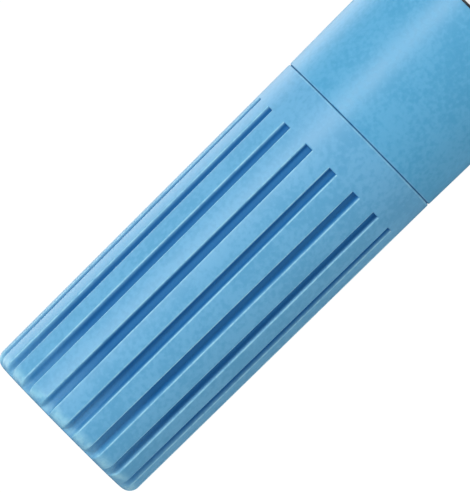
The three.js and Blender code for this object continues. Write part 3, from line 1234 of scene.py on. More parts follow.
class FibreRelief(ShapeTree):
    """Sinks a surface in streaks along the pen, so that its fibres stand out."""

    title = "Fibre relief"
    inputs = {
        "Relief": "NodeSocketFloat",
        "Across": "NodeSocketFloat",
        "Along": "NodeSocketFloat",
    }

    def wire(self, wiring: Wiring, given: bpy.types.NodeOutputs) -> Plug:
        """Sinks each point along its normal by streaky noise.

        Args:
            wiring: The tree's wiring.
            given: The tree's inputs.

        Returns:
            The carved mesh's socket.
        """
        place = wiring.add("GeometryNodeInputPosition").outputs[0]
        sides = {"X": given["Along"], "Y": given["Across"], "Z": given["Across"]}
        scale = wiring.add("ShaderNodeCombineXYZ", sides).outputs[0]
        spaced = wiring.add("ShaderNodeVectorMath", {0: place, 1: scale}, operation="MULTIPLY")
        noise = wiring.noise(spaced.outputs[0], 1.0, 2.0)
        depth = wiring.math("MULTIPLY", wiring.math("MULTIPLY", noise, -1.0), given["Relief"])
        normal = wiring.add("GeometryNodeInputNormal").outputs[0]
        offset = wiring.add("ShaderNodeVectorMath", {0: normal}, operation="SCALE")
        wiring.feed(offset.inputs["Scale"], depth)
        moved = wiring.add(
            "GeometryNodeSetPosition", {"Geometry": given["Mesh"], "Offset": offset.outputs[0]}
        )
        return moved.outputs[0]


# ---------------------------------------------------------------- the workshop


@dataclass
class Workshop:
    """What every sub-assembly works with.

    Attributes:
        datum: The pen's axis.
        effects: The shared shader groups.
        ring: The tree that repeats a sector round the axis.
        relief: The tree that carves fibres.
    """

    datum: Datum
    effects: Effects
    ring: SectorRing
    relief: FibreRelief

    @classmethod
    def open(cls) -> "Workshop":
        """Reads the datum and builds the shared trees."""
        return cls(Datum.from_frame(), Effects.build(), SectorRing(), FibreRelief())

    def turn(
        self,
        name: str,
        outline: Iterable[Stop],
        columns: int,
        finish: bpy.types.Material,
        closed: bool = False,
    ) -> bpy.types.Mesh:
        """Turns an outline round the axis and gives it its finish.

        Args:
            name: The mesh's name.
            outline: The rings in order.
            columns: Points to a ring.
            finish: Its material.
            closed: Whether the last ring joins the first.

        Returns:
            The mesh.
        """
        mesh = turned(self.datum, outline, columns, closed).mesh(name)
        mesh.materials.append(finish)
        return mesh

    def flute(
        self,
        name: str,
        channel: Channel,
        rings: Sequence[Cut],
        first_angle: float,
        finish: bpy.types.Material,
    ) -> bpy.types.Mesh:
        """Builds one sector of a fluted piece and repeats it round the axis.

        Args:
            name: The mesh's name.
            channel: The section of its channels.
            rings: Its rings in order.
            first_angle: Radians from straight up to the first channel.
            finish: Its material.

        Returns:
            The mesh.
        """
        sector = channel.sector(self.datum.lowered(), rings)
        return self.ring.bake(
            name,
            sector.mesh(name + "_sector"),
            finish,
            Count=channel.count,
            First_Angle=first_angle,
            Axis_Height=self.datum.height,
            Merge_Distance=SEAM_MERGE,
        )

    def place(
        self, name: str, mesh: bpy.types.Mesh, body: Body, slot: Slot, *replaced: str
    ) -> bpy.types.Object:
        """Puts a finished mesh in the scene on its body.

        Args:
            name: The piece's name.
            mesh: Its mesh, with its material.
            body: The body that it rides on.
            slot: Its material slot; not used.
            *replaced: The CAD nodes that it stands for.

        Returns:
            The piece.
        """
        piece = bpy.data.objects.new(name, mesh)
        bpy.context.scene.collection.objects.link(piece)
        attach(piece, body.value)
        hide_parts(*replaced)
        LOG.info("%s: %d points on %s", name, len(mesh.vertices), body.value)
        return piece

    def redress(self, node: str, finish: bpy.types.Material) -> None:
        """Gives a CAD node that stays a better material.

        Args:
            node: The node's name.
            finish: Its material.
        """
        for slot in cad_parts[node].material_slots:
            slot.material = finish
        LOG.info("%s: finished as %s", node, finish.name)


# ---------------------------------------------------------------- cap


@dataclass
class Cap:
    """The grooved cap and the soft seal inside it.

    Attributes:
        length: From the closed end to the mouth.
        end_radius: Outside radius at the closed end.
        mouth_radius: Outside radius at the mouth.
        corner: Rounding of the closed end's rim.
        dish_radius: Radius of the shallow dish in the closed end.
        dish_depth: Its depth.
        end_wall: Thickness of the closed end.
        bore: Inside radius at the mouth.
        deep_bore: Inside radius past the step.
        step_station: Where the bore steps in.
        step_run: Length of the slope at the step.
        lead_in: Bevel inside the mouth.
        mouth_fillet: Rounding of the mouth's outer edge.
        socket_bore: Inside radius of the ring that holds the seal.
        socket_radius: Its outside radius.
        socket_station: Where it ends.
        groove_count: Grooves round the cap.
        first_angle: Degrees from straight up to the first groove.
        groove_start: Where a groove starts, at the plain band.
        groove_lean: How far a groove's side walls lean in.
        groove_end_lean: How far the wall at its start leans.
        half_widths: Half a groove's width at the closed end and at its start.
        depths: Its depth at the same two places.
        grooved_radius: Radius on the closed end from which the grooves are cut.
        floor_blend: How softly the floor runs out of the closed end.
        blend_reach: How far under the floor's line the blend still counts.
        rim_stations: Rings close behind the closed end's rim.
        even_start: Where the even spacing of the rings begins.
        open_end_shade: Share of the painted shade at the closed end, where light gets into the
            grooves.
        open_length: How far from the closed end it is less than full.
        seal_radius: Outside radius of the seal.
        seal_bore: Its inside radius.
        seal_bottom: Where its closed end lies.
        seal_floor: Where its inside ends.
        seal_lip: Where its open end lies.
    """

    length: float = 32.985
    end_radius: float = 7.59
    mouth_radius: float = 7.80
    corner: float = 0.95
    dish_radius: float = 2.6
    dish_depth: float = 0.12
    end_wall: float = 1.6
    bore: float = 6.45
    deep_bore: float = 6.0
    step_station: float = 19.9
    step_run: float = 0.45
    lead_in: float = 0.25
    mouth_fillet: float = 0.16
    socket_bore: float = 4.05
    socket_radius: float = 4.85
    socket_station: float = 5.1
    groove_count: int = 18
    first_angle: float = 4.5
    groove_start: float = 29.4
    groove_lean: float = 0.12
    groove_end_lean: float = 0.03
    half_widths: tuple = (0.53, 0.40)
    depths: tuple = (0.65, 0.45)
    grooved_radius: float = 6.0
    floor_blend: float = 0.07
    blend_reach: float = 0.4
    rim_stations: tuple = (1.7, 2.1, 2.6, 3.2, 4.0)
    even_start: float = 5.0
    open_end_shade: float = 0.4
    open_length: float = 7.0
    seal_radius: float = 4.0
    seal_bore: float = 3.2
    seal_bottom: float = 1.8
    seal_floor: float = 2.8
    seal_lip: float = 15.6

    def radius(self, station: float) -> float:
        """The outside radius at a station, its corner rounding left aside."""
        slope = (self.mouth_radius - self.end_radius) / self.length
        return self.end_radius + slope * station

    def along(self, pair: tuple, station: float) -> float:
        """A groove's size at a station, from its sizes at the closed end and at its start."""
        share = station / self.groove_start
        return pair[0] + (pair[1] - pair[0]) * share

    def depth_at(self, station: float, radius: float) -> float:
        """Finds how deep the groove's floor lies, blended where it runs out of the closed end.

        Args:
            station: The ring's station.
            radius: The ring's radius at the surface.

        Returns:
            The depth below that radius.
        """
        floor = self.radius(station) - self.along(self.depths, station)
        below = radius - floor
        if below <= -self.blend_reach:
            return 0.0
        return (below + math.hypot(below, self.floor_blend)) / 2

    def fluted(self, stop: Stop) -> Cut:
        """Cuts the grooves into a ring.

        Args:
            stop: The ring.

        Returns:
            The ring with its grooves.
        """
        # Less painted shade in the grooves near the closed end, where light gets in.
        share = clamped(stop.station / self.open_length)
        tone = self.open_end_shade + (1.0 - self.open_end_shade) * share
        half_width = self.along(self.half_widths, stop.station)
        return Cut(stop, self.depth_at(*stop[:2]), half_width, tone)

    def rings(self) -> list[Cut]:
        """Lists the shell's rings from the closed end's middle, round the mouth, to the inside.

        Returns:
            The rings.
        """
        start = self.groove_start
        past_rim = 6.0
        closed = rounded(
            [
                Corner(self.dish_depth, 0.0),
                Corner(self.dish_depth, self.dish_radius, 0.3),
                Corner(0.0, self.dish_radius + 0.3, 0.3),
                # The rim's rounding takes painted shade next to the end face, a painted dark edge
                # round the closed end.
                Corner(0.0, self.radius(0.0), self.corner, 18, (0.75, -0.25)),
                Corner(past_rim, self.radius(past_rim)),
            ]
        )[:-1]
        grooved = self.grooved_radius
        rings = [self.fluted(stop) if stop.radius > grooved else Cut(stop) for stop in closed]
        for station in [*self.rim_stations, *spread(self.even_start, start - 1.0, 11)]:
            rings.append(self.fluted(Stop(station, self.radius(station))))
        full = self.along(self.depths, start)
        floor, foot = Vector((start - 1.0, full)), Vector((start - self.groove_end_lean, full))
        brow, band = Vector((start, 0.0)), Vector((start + 0.5, 0.0))
        for at in [*bend(floor, foot, brow, 0.12), *bend(foot, brow, band, 0.08)]:
            stop = Stop(at.x, self.radius(at.x))
            rings.append(Cut(stop, max(at.y, 0.0), self.along(self.half_widths, start)))
        inner = self.bore + self.lead_in
        open_end = rounded(
            [
                Corner(start + 0.2, self.radius(start + 0.2)),
                # The mouth's rounding takes painted shade towards the seam.
                Corner(self.length, self.mouth_radius, self.mouth_fillet, 6, (-0.1, 1.3)),
                Corner(self.length, inner, 0.06),
                Corner(self.length - self.lead_in, self.bore, 0.06),
                Corner(self.step_station, self.bore, 0.1),
                Corner(self.step_station - self.step_run, self.deep_bore, 0.1),
                Corner(self.end_wall, self.deep_bore, 0.3),
                Corner(self.end_wall, self.socket_radius, 0.15),
                Corner(self.socket_station, self.socket_radius, 0.12),
                Corner(self.socket_station, self.socket_bore, 0.12),
                Corner(self.end_wall, self.socket_bore, 0.1),
                Corner(self.end_wall, 0.0),
            ]
        )
        return rings + [Cut(stop) for stop in open_end]

    def build(self, shop: Workshop, plastic: bpy.types.Material) -> None:
        """Builds the shell from one sector with its groove.

        Args:
            shop: The workshop.
            plastic: The shell's finish.
        """
        channel = Channel(
            count=self.groove_count,
            lean=self.groove_lean,
            full_depth=self.depths[1],
            floor_fillet=0.34,
            top_fillet=0.10,
            inwards=True,
            rest_radius=7.6,
            rest_half_width=self.half_widths[1],
        )
        angle = math.radians(self.first_angle)
        mesh = shop.flute("cap_body", channel, self.rings(), angle, plastic)
        shop.place("cap_body", mesh, Body.CAP, Slot.BLUE, "cap_shell")

    def build_seal(self, shop: Workshop, plastic: bpy.types.Material) -> None:
        """Builds the inner seal.

        Args:
            shop: The workshop.
            plastic: The seal's finish.
        """
        outer, inner = self.seal_radius, self.seal_bore
        bottom, floor, lip = self.seal_bottom, self.seal_floor, self.seal_lip
        outline = rounded(
            [
                Corner(bottom, 0.0),
                Corner(bottom, outer, 0.15),
                Corner(lip - 0.3, outer, 0.2),
                Corner(lip, outer - 0.3, 0.15),
                Corner(lip, inner, 0.15),
                Corner(floor, inner, 0.3),
                Corner(floor, 0.0),
            ]
        )
        mesh = shop.turn("cap_seal", outline, 96, plastic)
        shop.place("cap_seal", mesh, Body.CAP, Slot.NATURAL, "cap_inner_seal")


# ---------------------------------------------------------------- front section


@dataclass
class FrontSection:
    """The nose with its air flutes, the spigot and sleeve, and the fibre nib.

    Attributes:
        nose_station: Front edge of the nose.
        nose_radius: Its outside radius.
        nose_bevel: Bevel of its front edge.
        nose_seat: Length of its straight part, which the seal closes over.
        spigot_station: Front face of the spigot, which the cap slides over.
        spigot_radius: Its outside radius.
        spigot_bevel: Bevel of its front edge.
        spigot_bore: Its inside radius.
        face_step: From the spigot's edge in to where the cone from the nose ends.
        web_back: Back face of the web that holds the nib.
        web_ring: From the nib's bore out to the first ring on both faces of the web.
        bead_station: Middle of the snap bead.
        bead_height: Its height.
        bead_width: Its width at the foot.
        bead_top: Half its width at the top.
        barrel_front: Where the spigot ends and the sleeve inside the barrel starts.
        sleeve_radius: The sleeve's outside radius.
        sleeve_bevel: Bevel of its back edge.
        sleeve_bore: Its inside radius.
        sleeve_floor: Length of the slope at the front of its bore.
        sleeve_end: Back edge of the sleeve.
        flute_count: Air flutes round the nib's bore.
        flute_half_width: Half a flute's width.
        flute_depth: Its depth.
        nib_bore: Inside radius of the bore that holds the nib.
        nib_radius: The nib's radius.
        nib_tip: Front end of the nib.
        nib_tip_radius: Rounding of its tip.
        nib_tip_turn: Degrees that the rounding turns before the taper.
        nib_bare: Length of the full nib in front of the nose.
        nib_end: Back end of the nib.
        fibre_relief: How deep the gaps between its fibres are.
    """

    nose_station: float = 12.6
    nose_radius: float = 3.1
    nose_bevel: float = 0.45
    nose_seat: float = 3.6
    spigot_station: float = 20.1
    spigot_radius: float = 6.1
    spigot_bevel: float = 0.4
    spigot_bore: float = 5.0
    face_step: float = 1.5
    web_back: float = 22.5
    web_ring: float = 0.5
    bead_station: float = 29.0
    bead_height: float = 0.25
    bead_width: float = 1.4
    bead_top: float = 0.2
    barrel_front: float = 33.0
    sleeve_radius: float = 6.75
    sleeve_bevel: float = 0.35
    sleeve_bore: float = 5.65
    sleeve_floor: float = 0.65
    sleeve_end: float = 46.0
    flute_count: int = 4
    flute_half_width: float = 0.25
    flute_depth: float = 0.4
    nib_bore: float = 1.55
    nib_radius: float = 1.5
    nib_tip: float = 7.4
    nib_tip_radius: float = 0.55
    nib_tip_turn: float = 74.0
    nib_bare: float = 1.6
    nib_end: float = 29.7
    fibre_relief: float = 0.05

    def rings(self) -> list[Cut]:
        """Lists the holder's rings from the nose's front edge back to the web and its bore.

        Returns:
            The rings.
        """
        nose, front, spigot = self.nose_station, self.spigot_station, self.spigot_radius
        bead, half_bead = self.bead_station, self.bead_width / 2
        bead_radius = spigot + self.bead_height
        web_radius = self.nib_bore + self.web_ring
        outside = rounded(
            [
                Corner(nose, web_radius),
                Corner(nose, self.nose_radius - self.nose_bevel, 0.12),
                Corner(nose + self.nose_bevel, self.nose_radius, 0.3),
                Corner(nose + self.nose_seat, self.nose_radius, 0.6),
                Corner(front, spigot - self.face_step, 0.25),
                Corner(front, spigot - self.spigot_bevel, 0.12),
                Corner(front + self.spigot_bevel, spigot, 0.2),
                Corner(bead - half_bead, spigot, 0.5),
                Corner(bead - self.bead_top, bead_radius, 0.4),
                Corner(bead + self.bead_top, bead_radius, 0.4),
                Corner(bead + half_bead, spigot, 0.5),
                Corner(self.barrel_front, spigot, 0.05),
                Corner(self.barrel_front, self.sleeve_radius, 0.05),
                Corner(self.sleeve_end - self.sleeve_bevel, self.sleeve_radius, 0.1),
                Corner(self.sleeve_end, self.sleeve_radius - self.sleeve_bevel, 0.1),
                Corner(self.sleeve_end, self.sleeve_bore, 0.05),
                Corner(self.barrel_front + self.sleeve_floor, self.sleeve_bore, 0.1),
                Corner(self.barrel_front, self.spigot_bore, 0.1),
                Corner(self.web_back, self.spigot_bore, 0.1),
                Corner(self.web_back, web_radius),
            ]
        )
        bore = [Stop(station, self.nib_bore) for station in spread(self.web_back, nose, 4)]
        fluted = [Cut(stop, self.flute_depth, self.flute_half_width) for stop in bore]
        return [Cut(stop) for stop in outside] + fluted

    def build(self, shop: Workshop, plastic: bpy.types.Material) -> None:
        """Builds the holder from one sector with its flute.

        Args:
            shop: The workshop.
            plastic: The holder's finish.
        """
        channel = Channel(
            count=self.flute_count,
            lean=0.01,
            full_depth=self.flute_depth,
            floor_fillet=0.05,
            top_fillet=0.04,
            inwards=False,
            rest_radius=self.nib_bore,
            rest_half_width=self.flute_half_width,
            land_steps=11,
        )
        rings = self.rings()
        angle = math.pi / self.flute_count
        mesh = shop.flute("front_holder", channel, [*rings, rings[0]], angle, plastic)
        shop.place("front_holder", mesh, Body.PEN, Slot.NATURAL, "nib_holder")

    def build_nib(self, shop: Workshop, fibre: bpy.types.Material) -> None:
        """Builds the nib with its fibres in relief.

        Args:
            shop: The workshop.
            fibre: The nib's finish.
        """
        tip, rounding = self.nib_tip, self.nib_tip_radius
        full = Stop(self.nose_station - self.nib_bare, self.nib_radius)
        arc = [
            Stop(tip + rounding * (1 - math.cos(angle)), rounding * math.sin(angle))
            for angle in spread(0.0, math.radians(self.nib_tip_turn), 8)
        ]
        stations = spread(arc[-1].station, full.station, 14)
        radii = spread(arc[-1].radius, full.radius, 14)
        taper = [Stop(station, radius) for station, radius in zip(stations, radii)]
        shaft = [Stop(station, full.radius) for station in spread(full.station, self.nib_end, 30)]
        outline = [*arc, *taper[1:], *shaft[1:], Stop(self.nib_end, 0.0)]
        mesh = shop.relief.bake(
            "fibre_tip",
            turned(shop.datum, outline, 120).mesh("nib_blank"),
            fibre,
            Relief=self.fibre_relief * MM,
            Across=9000.0,
            Along=500.0,
        )
        shop.place("fibre_tip", mesh, Body.PEN, Slot.FIBRE, "fibre_nib")


# ---------------------------------------------------------------- barrel, label and tail


@dataclass
class Barrel:
    """The barrel with its narrow tail, the plug that closes it and the label.

    Attributes:
        front: Where the barrel starts, at the seam.
        seam_radius: Outside radius there.
        radius: Its greatest outside radius.
        swell_length: How far behind the seam it reaches that.
        straight_start: First ring of its straight part.
        front_fillet: Rounding of its front edge.
        front_bore: Inside radius round the sleeve.
        ledge: Where the sleeve stops.
        main_bore: Inside radius behind the ledge.
        shoulder: Rounding where the body steps down to the tail.
        tail_station: Where the tail starts.
        tail_ring: Front of the ring that narrows the bore at the tail.
        tail_radius: The tail's outside radius.
        tail_bore: Its inside radius.
        end: Back edge of the tail.
        columns: Points round the barrel.
        plug_skirt: Outside radius of the plug's skirt.
        plug_bore: Its inside radius.
        plug_start: Front edge of the skirt.
        plug_head: Front of the plug's head.
        plug_end: Back of the head.
        dish_radius: Radius of the dish in the plug's end.
        dish_depth: Its depth.
        boss_radius: Radius of the low boss in the dish.
        label_start: Where the label starts.
        label_length: Its length along the pen.
        label_half_angle: Degrees from its middle round to each side.
        label_rise: Its face's height over the barrel.
        label_gap: Its back's height over the barrel.
        label_ease: How far its rim is eased.
        label_corner: Rounding of its corners.
    """

    front: float = 33.0
    seam_radius: float = 7.8
    radius: float = 8.0
    swell_length: float = 24.0
    straight_start: float = 60.0
    front_fillet: float = 0.13
    front_bore: float = 6.8
    ledge: float = 46.2
    main_bore: float = 6.4
    shoulder: float = 0.9
    tail_station: float = 116.0
    tail_ring: float = 113.0
    tail_radius: float = 6.1
    tail_bore: float = 5.0
    end: float = 128.4
    columns: int = 192
    plug_skirt: float = 4.95
    plug_bore: float = 4.05
    plug_start: float = 122.4
    plug_head: float = 128.6
    plug_end: float = 130.0
    dish_radius: float = 3.3
    dish_depth: float = 0.3
    boss_radius: float = 0.7
    label_start: float = 46.0
    label_length: float = 54.3
    label_half_angle: float = 62.0
    label_rise: float = 0.095
    label_gap: float = 0.02
    label_ease: float = 0.03
    label_corner: float = 1.6

    def radius_at(self, station: float) -> float:
        """The outside radius at a station, from the seam to the shoulder."""
        share = min((station - self.front) / self.swell_length, 1.0)
        return self.seam_radius + (self.radius - self.seam_radius) * (1 - (1 - share) ** 2)

    def build(self, shop: Workshop, plastic: bpy.types.Material) -> None:
        """Builds the barrel.

        Args:
            shop: The workshop.
            plastic: The barrel's finish.
        """
        swell_end = self.front + self.swell_length
        swell = [Corner(s, self.radius_at(s)) for s in spread(self.front, swell_end, 16)[1:]]
        straight_end = self.tail_station - self.shoulder - 0.6
        straight = [Corner(s, self.radius) for s in spread(self.straight_start, straight_end, 12)]
        outline = rounded(
            [
                Corner(self.front, self.front_bore),
                # The front rounding takes painted shade towards the seam.
                Corner(self.front, self.seam_radius, self.front_fillet, 5, (1.3, -0.1)),
                *swell,
                *straight,
                Corner(self.tail_station, self.radius, self.shoulder, 12),
                Corner(self.tail_station, self.tail_radius, 0.25, 5),
                Corner(self.end, self.tail_radius, 0.15),
                Corner(self.end, self.tail_bore, 0.08),
                Corner(self.tail_ring, self.tail_bore, 0.1),
                Corner(self.tail_ring, self.main_bore, 0.1),
                Corner(self.ledge, self.main_bore, 0.1),
                Corner(self.ledge, self.front_bore),
            ]
        )
        mesh = shop.turn("barrel_tube", outline, self.columns, plastic, closed=True)
        shop.place("barrel_tube", mesh, Body.PEN, Slot.BLUE, "barrel")

    def build_plug(self, shop: Workshop, plastic: bpy.types.Material) -> None:
        """Builds the tail plug, with a shallow dish and a low boss in its end.

        Args:
            shop: The workshop.
            plastic: The plug's finish.
        """
        skirt, bore, start = self.plug_skirt, self.plug_bore, self.plug_start
        head, end, dish = self.plug_head, self.plug_end, self.dish_radius
        boss, floor, top = self.boss_radius, end - self.dish_depth, end - self.dish_depth / 2
        outline = rounded(
            [
                Corner(head, 0.0),
                Corner(head, bore, 0.1),
                Corner(start, bore, 0.1),
                Corner(start, skirt - 0.3, 0.1),
                Corner(start + 0.3, skirt, 0.1),
                Corner(head, skirt, 0.05),
                Corner(head, self.tail_radius, 0.1),
                Corner(end, self.tail_radius, 0.6, 10),
                Corner(end, dish + 0.3, 0.15),
                Corner(floor, dish, 0.15),
                Corner(floor, boss + 0.2, 0.2),
                Corner(top, boss, 0.1),
                Corner(top, 0.0),
            ]
        )
        mesh = shop.turn("tail_cap", outline, 128, plastic)
        shop.place("tail_cap", mesh, Body.PEN, Slot.BLUE, "tail_plug")

    def label_width(self) -> float:
        """The label's width round the barrel."""
        return 2 * math.radians(self.label_half_angle) * self.radius

    def label_rows(self) -> list[tuple[float, float]]:
        """Lists the label's rows, with its rounded corners.

        Returns:
            For each row its station and half its width.
        """
        half = self.label_width() / 2
        corner = self.label_corner
        end = self.label_start + self.label_length
        first = [
            (self.label_start + corner * (1 - math.cos(a)), half - corner * (1 - math.sin(a)))
            for a in spread(0.0, math.pi / 2, 10)
        ]
        middle = [(s, half) for s in spread(first[-1][0], end - corner, 24)[1:-1]]
        last = [(self.label_start + end - s, w) for s, w in reversed(first)]
        return [*first, *middle, *last]

    def build_label(self, shop: Workshop, printed: bpy.types.Material) -> None:
        """Builds the label film: a face with an eased rim, and its back.

        Args:
            shop: The workshop.
            printed: The film's finish.
        """
        surface = Surface()
        middle = self.label_start + self.label_length / 2
        rows = self.label_rows()

        def layer(rise: float, inset: float) -> list[list[int]]:
            """Adds a sheet of points at a height over the barrel.

            Args:
                rise: Its height over the barrel.
                inset: How far its border is drawn in.

            Returns:
                Its rows of indices.
            """
            sheet = []
            for station, half in rows:
                pull = (self.label_length - 2 * inset) / self.label_length
                at = middle + (station - middle) * pull
                row = []
                for share in spread(-1.0, 1.0, 48):
                    across = share * (half - inset)
                    radius = self.radius_at(at) + rise
                    row.append(surface.add(shop.datum.point(at, radius, across / self.radius)))
                    surface.panel.extend((at - middle, across, 0.0))
                sheet.append(row)
            return sheet

        def rim(sheet: list[list[int]]) -> list[int]:
            """Follows a sheet's border, counter-clockwise as seen from outside.

            Args:
                sheet: The sheet's rows of indices.

            Returns:
                The border's indices.
            """
            left = [row[0] for row in sheet]
            right = [row[-1] for row in sheet]
            return [*sheet[0], *right[1:], *sheet[-1][-2::-1], *left[-2:0:-1]]

        top = layer(self.label_rise, self.label_ease)
        side = layer(self.label_rise - self.label_ease, 0.0)
        back = layer(self.label_gap, 0.0)
        for low, high in zip(top, top[1:]):
            surface.bridge(low, high, closed=False)
        for low, high in zip(back, back[1:]):
            surface.bridge(high, low, closed=False)
        surface.bridge(rim(side), rim(top))
        surface.bridge(rim(back), rim(side))
        mesh = surface.mesh("label_film")
        mesh.materials.append(printed)
        shop.place("label_film", mesh, Body.PEN, Slot.LABEL, "barrel_label")


# ---------------------------------------------------------------- studio


@dataclass(frozen=True)
class Studio:
    """A pale floor with a painted glow in reflections, one soft light from the far side and an
    even sky.

    Attributes:
        view_station: Station at the middle of the view.
        view_offset: How far the middle of the view lies to the far side of the axis.
        slant: Degrees that the pen leans up from the horizontal in the view.
        distance: Camera to axis, in metres.
        lens: The camera's focal length.
        key_lean: Degrees of the light from straight up, to the far side.
        key_distance: Light to pen, in metres.
        key_size: Side of the light, in metres.
        key_power: Its power in watts.
        sky: Radiance of the sky.
        sky_sheen: Its radiance in reflections, low on the near side and elsewhere.
        sky_low: The direction's part along Y where the sheen starts to grow and where it is full.
        backdrop: Radiance of the sky as the camera sees it.
        floor_half: Half the floor's side, in metres.
        floor_glow: Share of the floor that the camera sees as plain white.
        floor_white: Radiance of that white.
        floor_tone: Reflectance of the floor on the near side and on the far side.
        tone_turn: The places across the pen, in metres, between which it changes.
        floor_sheen: Its radiance in reflections close to the pen, near side and far side.
        floor_sheen_far: The same well away from the pen.
        sheen_turn: The places across the pen, in metres, between which both change sides.
        sheen_reach: The distances from the axis, in metres, between which close turns to far.
        contact: Distances, in metres, over which a painted shadow round the pen fades into the
            full glow in reflections.
    """

    view_station: float = 19.78
    view_offset: float = 0.5875
    slant: float = 44.63
    distance: float = 0.9745
    lens: float = 900.0
    key_lean: float = 36.0
    key_distance: float = 0.6
    key_size: float = 0.14
    key_power: float = 1.32
    sky: float = 0.67
    sky_sheen: tuple = (0.02, 0.26)
    sky_low: tuple = (-0.95, -0.5)
    backdrop: float = 1.0
    floor_half: float = 5.0
    floor_glow: float = 0.88
    floor_white: float = 1.12
    floor_tone: tuple = (0.86, 0.35)
    tone_turn: tuple = (-0.010, 0.010)
    floor_sheen: tuple = (0.18, 2.8)
    floor_sheen_far: tuple = (0.02, 0.7)
    sheen_turn: tuple = (-0.004, 0.010)
    sheen_reach: tuple = (0.024, 0.055)
    contact: tuple = (0.0095, 0.0135)

    def build(self, datum: Datum) -> None:
        """Sets up the camera, the light, the sky and the floor.

        Args:
            datum: The pen's axis.
        """
        self._camera(datum)
        self._key(datum)
        self._sky()
        self._floor()
        bpy.context.scene.view_settings.view_transform = "Standard"

    def _camera(self, datum: Datum) -> None:
        """Adds the camera, straight above the cap.

        Args:
            datum: The pen's axis.
        """
        camera = bpy.data.cameras.new("camera")
        camera.lens = self.lens
        camera.sensor_width = 36.0
        camera.clip_end = 20.0
        rig = bpy.data.objects.new("camera", camera)
        middle = datum.start + self.view_station * MM
        rig.location = (middle, self.view_offset * MM, datum.height + self.distance)
        rig.rotation_euler = (0.0, 0.0, -math.radians(self.slant))
        bpy.context.scene.collection.objects.link(rig)
        bpy.context.scene.camera = rig

    def _key(self, datum: Datum) -> None:
        """Adds the soft light.

        Args:
            datum: The pen's axis.
        """
        lamp = bpy.data.lights.new("key", "AREA")
        lamp.shape = "SQUARE"
        lamp.size = self.key_size
        lamp.energy = self.key_power
        rig = bpy.data.objects.new("key", lamp)
        lean = math.radians(self.key_lean)
        across, up = math.sin(lean), math.cos(lean)
        middle = datum.start + self.view_station * MM
        reach = self.key_distance
        rig.location = (middle, reach * across, datum.height + reach * up)
        rig.rotation_euler = (-lean, 0.0, 0.0)
        rig.visible_camera = False
        bpy.context.scene.collection.objects.link(rig)

    def _sky(self) -> None:
        """Sets the world: even light, a plain white backdrop, and a dimmer near side in sheen."""
        world = bpy.data.worlds.new("sky")
        world.use_nodes = True
        bpy.context.scene.world = world
        wiring = Wiring(world.node_tree)
        ray = wiring.add("ShaderNodeLightPath").outputs
        way = wiring.add("ShaderNodeTexCoord").outputs["Generated"]
        side = wiring.add("ShaderNodeSeparateXYZ", {0: way}).outputs["Y"]
        sheen = wiring.ramp(side, *self.sky_low, self.sky_sheen)
        white = (1.0, 1.0, 1.0, 1.0)
        parts = [
            wiring.add("ShaderNodeBackground", {"Color": white, "Strength": power}).outputs[0]
            for power in (self.sky, sheen, self.backdrop)
        ]
        first = {0: ray["Is Glossy Ray"], 1: parts[0], 2: parts[1]}
        lit = wiring.add("ShaderNodeMixShader", first).outputs[0]
        both = wiring.add("ShaderNodeMixShader", {0: ray["Is Camera Ray"], 1: lit, 2: parts[2]})
        wiring.add("ShaderNodeOutputWorld", {"Surface": both.outputs[0]})

    def _floor(self) -> None:
        """Adds the pale floor; its painted glow in reflections is brighter on the far side, where
        the light falls, with a painted shadow round the pen.
        """
        material, wiring, place = new_material("pale_floor")
        side = wiring.add("ShaderNodeSeparateXYZ", {0: place}).outputs["Y"]
        off_axis = wiring.math("ABSOLUTE", side)
        tone = wiring.ramp(side, *self.tone_turn, self.floor_tone)
        dull = wiring.add("ShaderNodeBsdfDiffuse", {"Color": tone}).outputs[0]
        close = wiring.ramp(side, *self.sheen_turn, self.floor_sheen)
        away = wiring.ramp(side, *self.sheen_turn, self.floor_sheen_far)
        reach = wiring.ramp(off_axis, *self.sheen_reach)
        lit = wiring.add("ShaderNodeMix", {0: reach, 2: close, 3: away}).outputs[0]
        # Painted shadow round the pen in the floor's glow as reflections see it.
        gloss = wiring.math("MULTIPLY", lit, wiring.ramp(off_axis, *self.contact))
        sheen = wiring.add("ShaderNodeEmission", {"Strength": gloss}).outputs[0]
        glow = wiring.add("ShaderNodeEmission", {"Strength": self.floor_white}).outputs[0]
        ray = wiring.add("ShaderNodeLightPath").outputs
        first = {0: ray["Is Glossy Ray"], 1: dull, 2: sheen}
        unseen = wiring.add("ShaderNodeMixShader", first).outputs[0]
        share = wiring.math("MULTIPLY", ray["Is Camera Ray"], self.floor_glow)
        both = wiring.add("ShaderNodeMixShader", {0: share, 1: unseen, 2: glow}).outputs[0]
        wiring.add("ShaderNodeOutputMaterial", {"Surface": both})
        half = self.floor_half
        ground = Surface()
        corners = ((-half, -half), (half, -half), (half, half), (-half, half))
        ground.faces.append(tuple(ground.add(Vector((x, y, cad_box[0].z))) for x, y in corners))
        mesh = ground.mesh("floor")
        mesh.materials.append(material)
        floor = bpy.data.objects.new("floor", mesh)
        bpy.context.scene.collection.objects.link(floor)


# ---------------------------------------------------------------- assembly

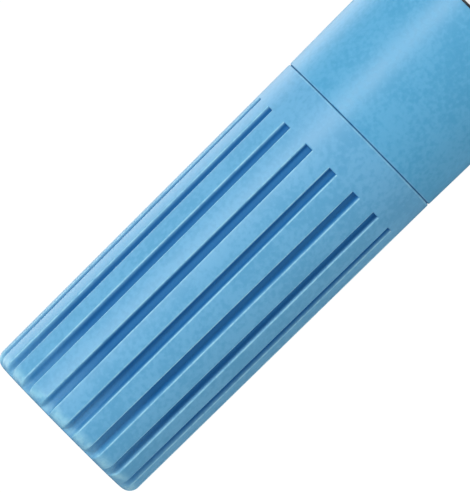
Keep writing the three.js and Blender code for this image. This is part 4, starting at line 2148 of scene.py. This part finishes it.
# Below, each plastic's darkest colour is painted shade for channels and seams, and its palest is
# for edges, paled by rubbing and by a painted highlight.
CAP_BLUE = MouldedPlastic(
    name="cap_blue_plastic",
    colour=(0.109, 0.412, 0.690, 1.0),
    cloud=(0.147, 0.466, 0.753, 1.0),
    worn_and_lit=(0.42, 0.82, 0.98, 1.0),
    deep=(0.001, 0.155, 0.425, 1.0),
    roughness=0.45,
    wear_and_highlight=0.75,
)
BARREL_BLUE = MouldedPlastic(
    name="barrel_blue_plastic",
    colour=(0.073, 0.392, 0.670, 1.0),
    cloud=(0.107, 0.444, 0.733, 1.0),
    worn_and_lit=(0.32, 0.65, 0.88, 1.0),
    deep=(0.001, 0.155, 0.425, 1.0),
    roughness=0.43,
    wear_and_highlight=0.6,
)
NATURAL = MouldedPlastic(
    name="natural_plastic",
    colour=(0.78, 0.81, 0.82, 1.0),
    cloud=(0.82, 0.84, 0.84, 1.0),
    worn_and_lit=(0.88, 0.90, 0.90, 1.0),
    deep=(0.55, 0.64, 0.72, 1.0),
    roughness=0.42,
    scatter=0.35,
    scatter_depth=0.9,
    wear_and_highlight=0.2,
    scratches=0.5,
)
NIB_FIBRE = InkedFibre(
    name="inked_nib_fibre", wet=(0.03, 0.14, 0.50, 1.0), dry=(0.10, 0.30, 0.68, 1.0)
)
CORE_FIBRE = InkedFibre(
    name="inked_core_fibre",
    wet=(0.04, 0.16, 0.52, 1.0),
    dry=(0.16, 0.36, 0.70, 1.0),
    across=5000.0,
    depth=30.0,
)
FILM = ThinFilm(name="clear_film", tint=(0.90, 0.94, 0.96, 1.0), milky=(0.82, 0.87, 0.90, 1.0))


def main() -> None:
    """Builds the pen in order, then the studio."""
    logging.basicConfig(level=logging.INFO, format="%(name)s: %(message)s")
    shop = Workshop.open()
    cap_blue = CAP_BLUE.build(shop.effects)
    barrel_blue = BARREL_BLUE.build(shop.effects)
    natural = NATURAL.build(shop.effects)
    nib_fibre = NIB_FIBRE.build(shop.effects)
    core_fibre = CORE_FIBRE.build(shop.effects)
    film = FILM.build(shop.effects)

    cap = Cap()
    cap.build(shop, cap_blue)
    cap.build_seal(shop, natural)

    front = FrontSection()
    front.build(shop, natural)
    front.build_nib(shop, nib_fibre)

    barrel = Barrel()
    barrel.build(shop, barrel_blue)
    barrel.build_plug(shop, barrel_blue)
    label = PanelPrint(
        name="label_print",
        length=barrel.label_length,
        width=barrel.label_width(),
        corner=barrel.label_corner,
    )
    barrel.build_label(shop, label.build(shop.effects))

    shop.redress("ink_reservoir", core_fibre)
    shop.redress("reservoir_wrap", film)
    shop.redress("air_tube", film)
    Studio().build(shop.datum)


if __name__ == "__main__":
    main()
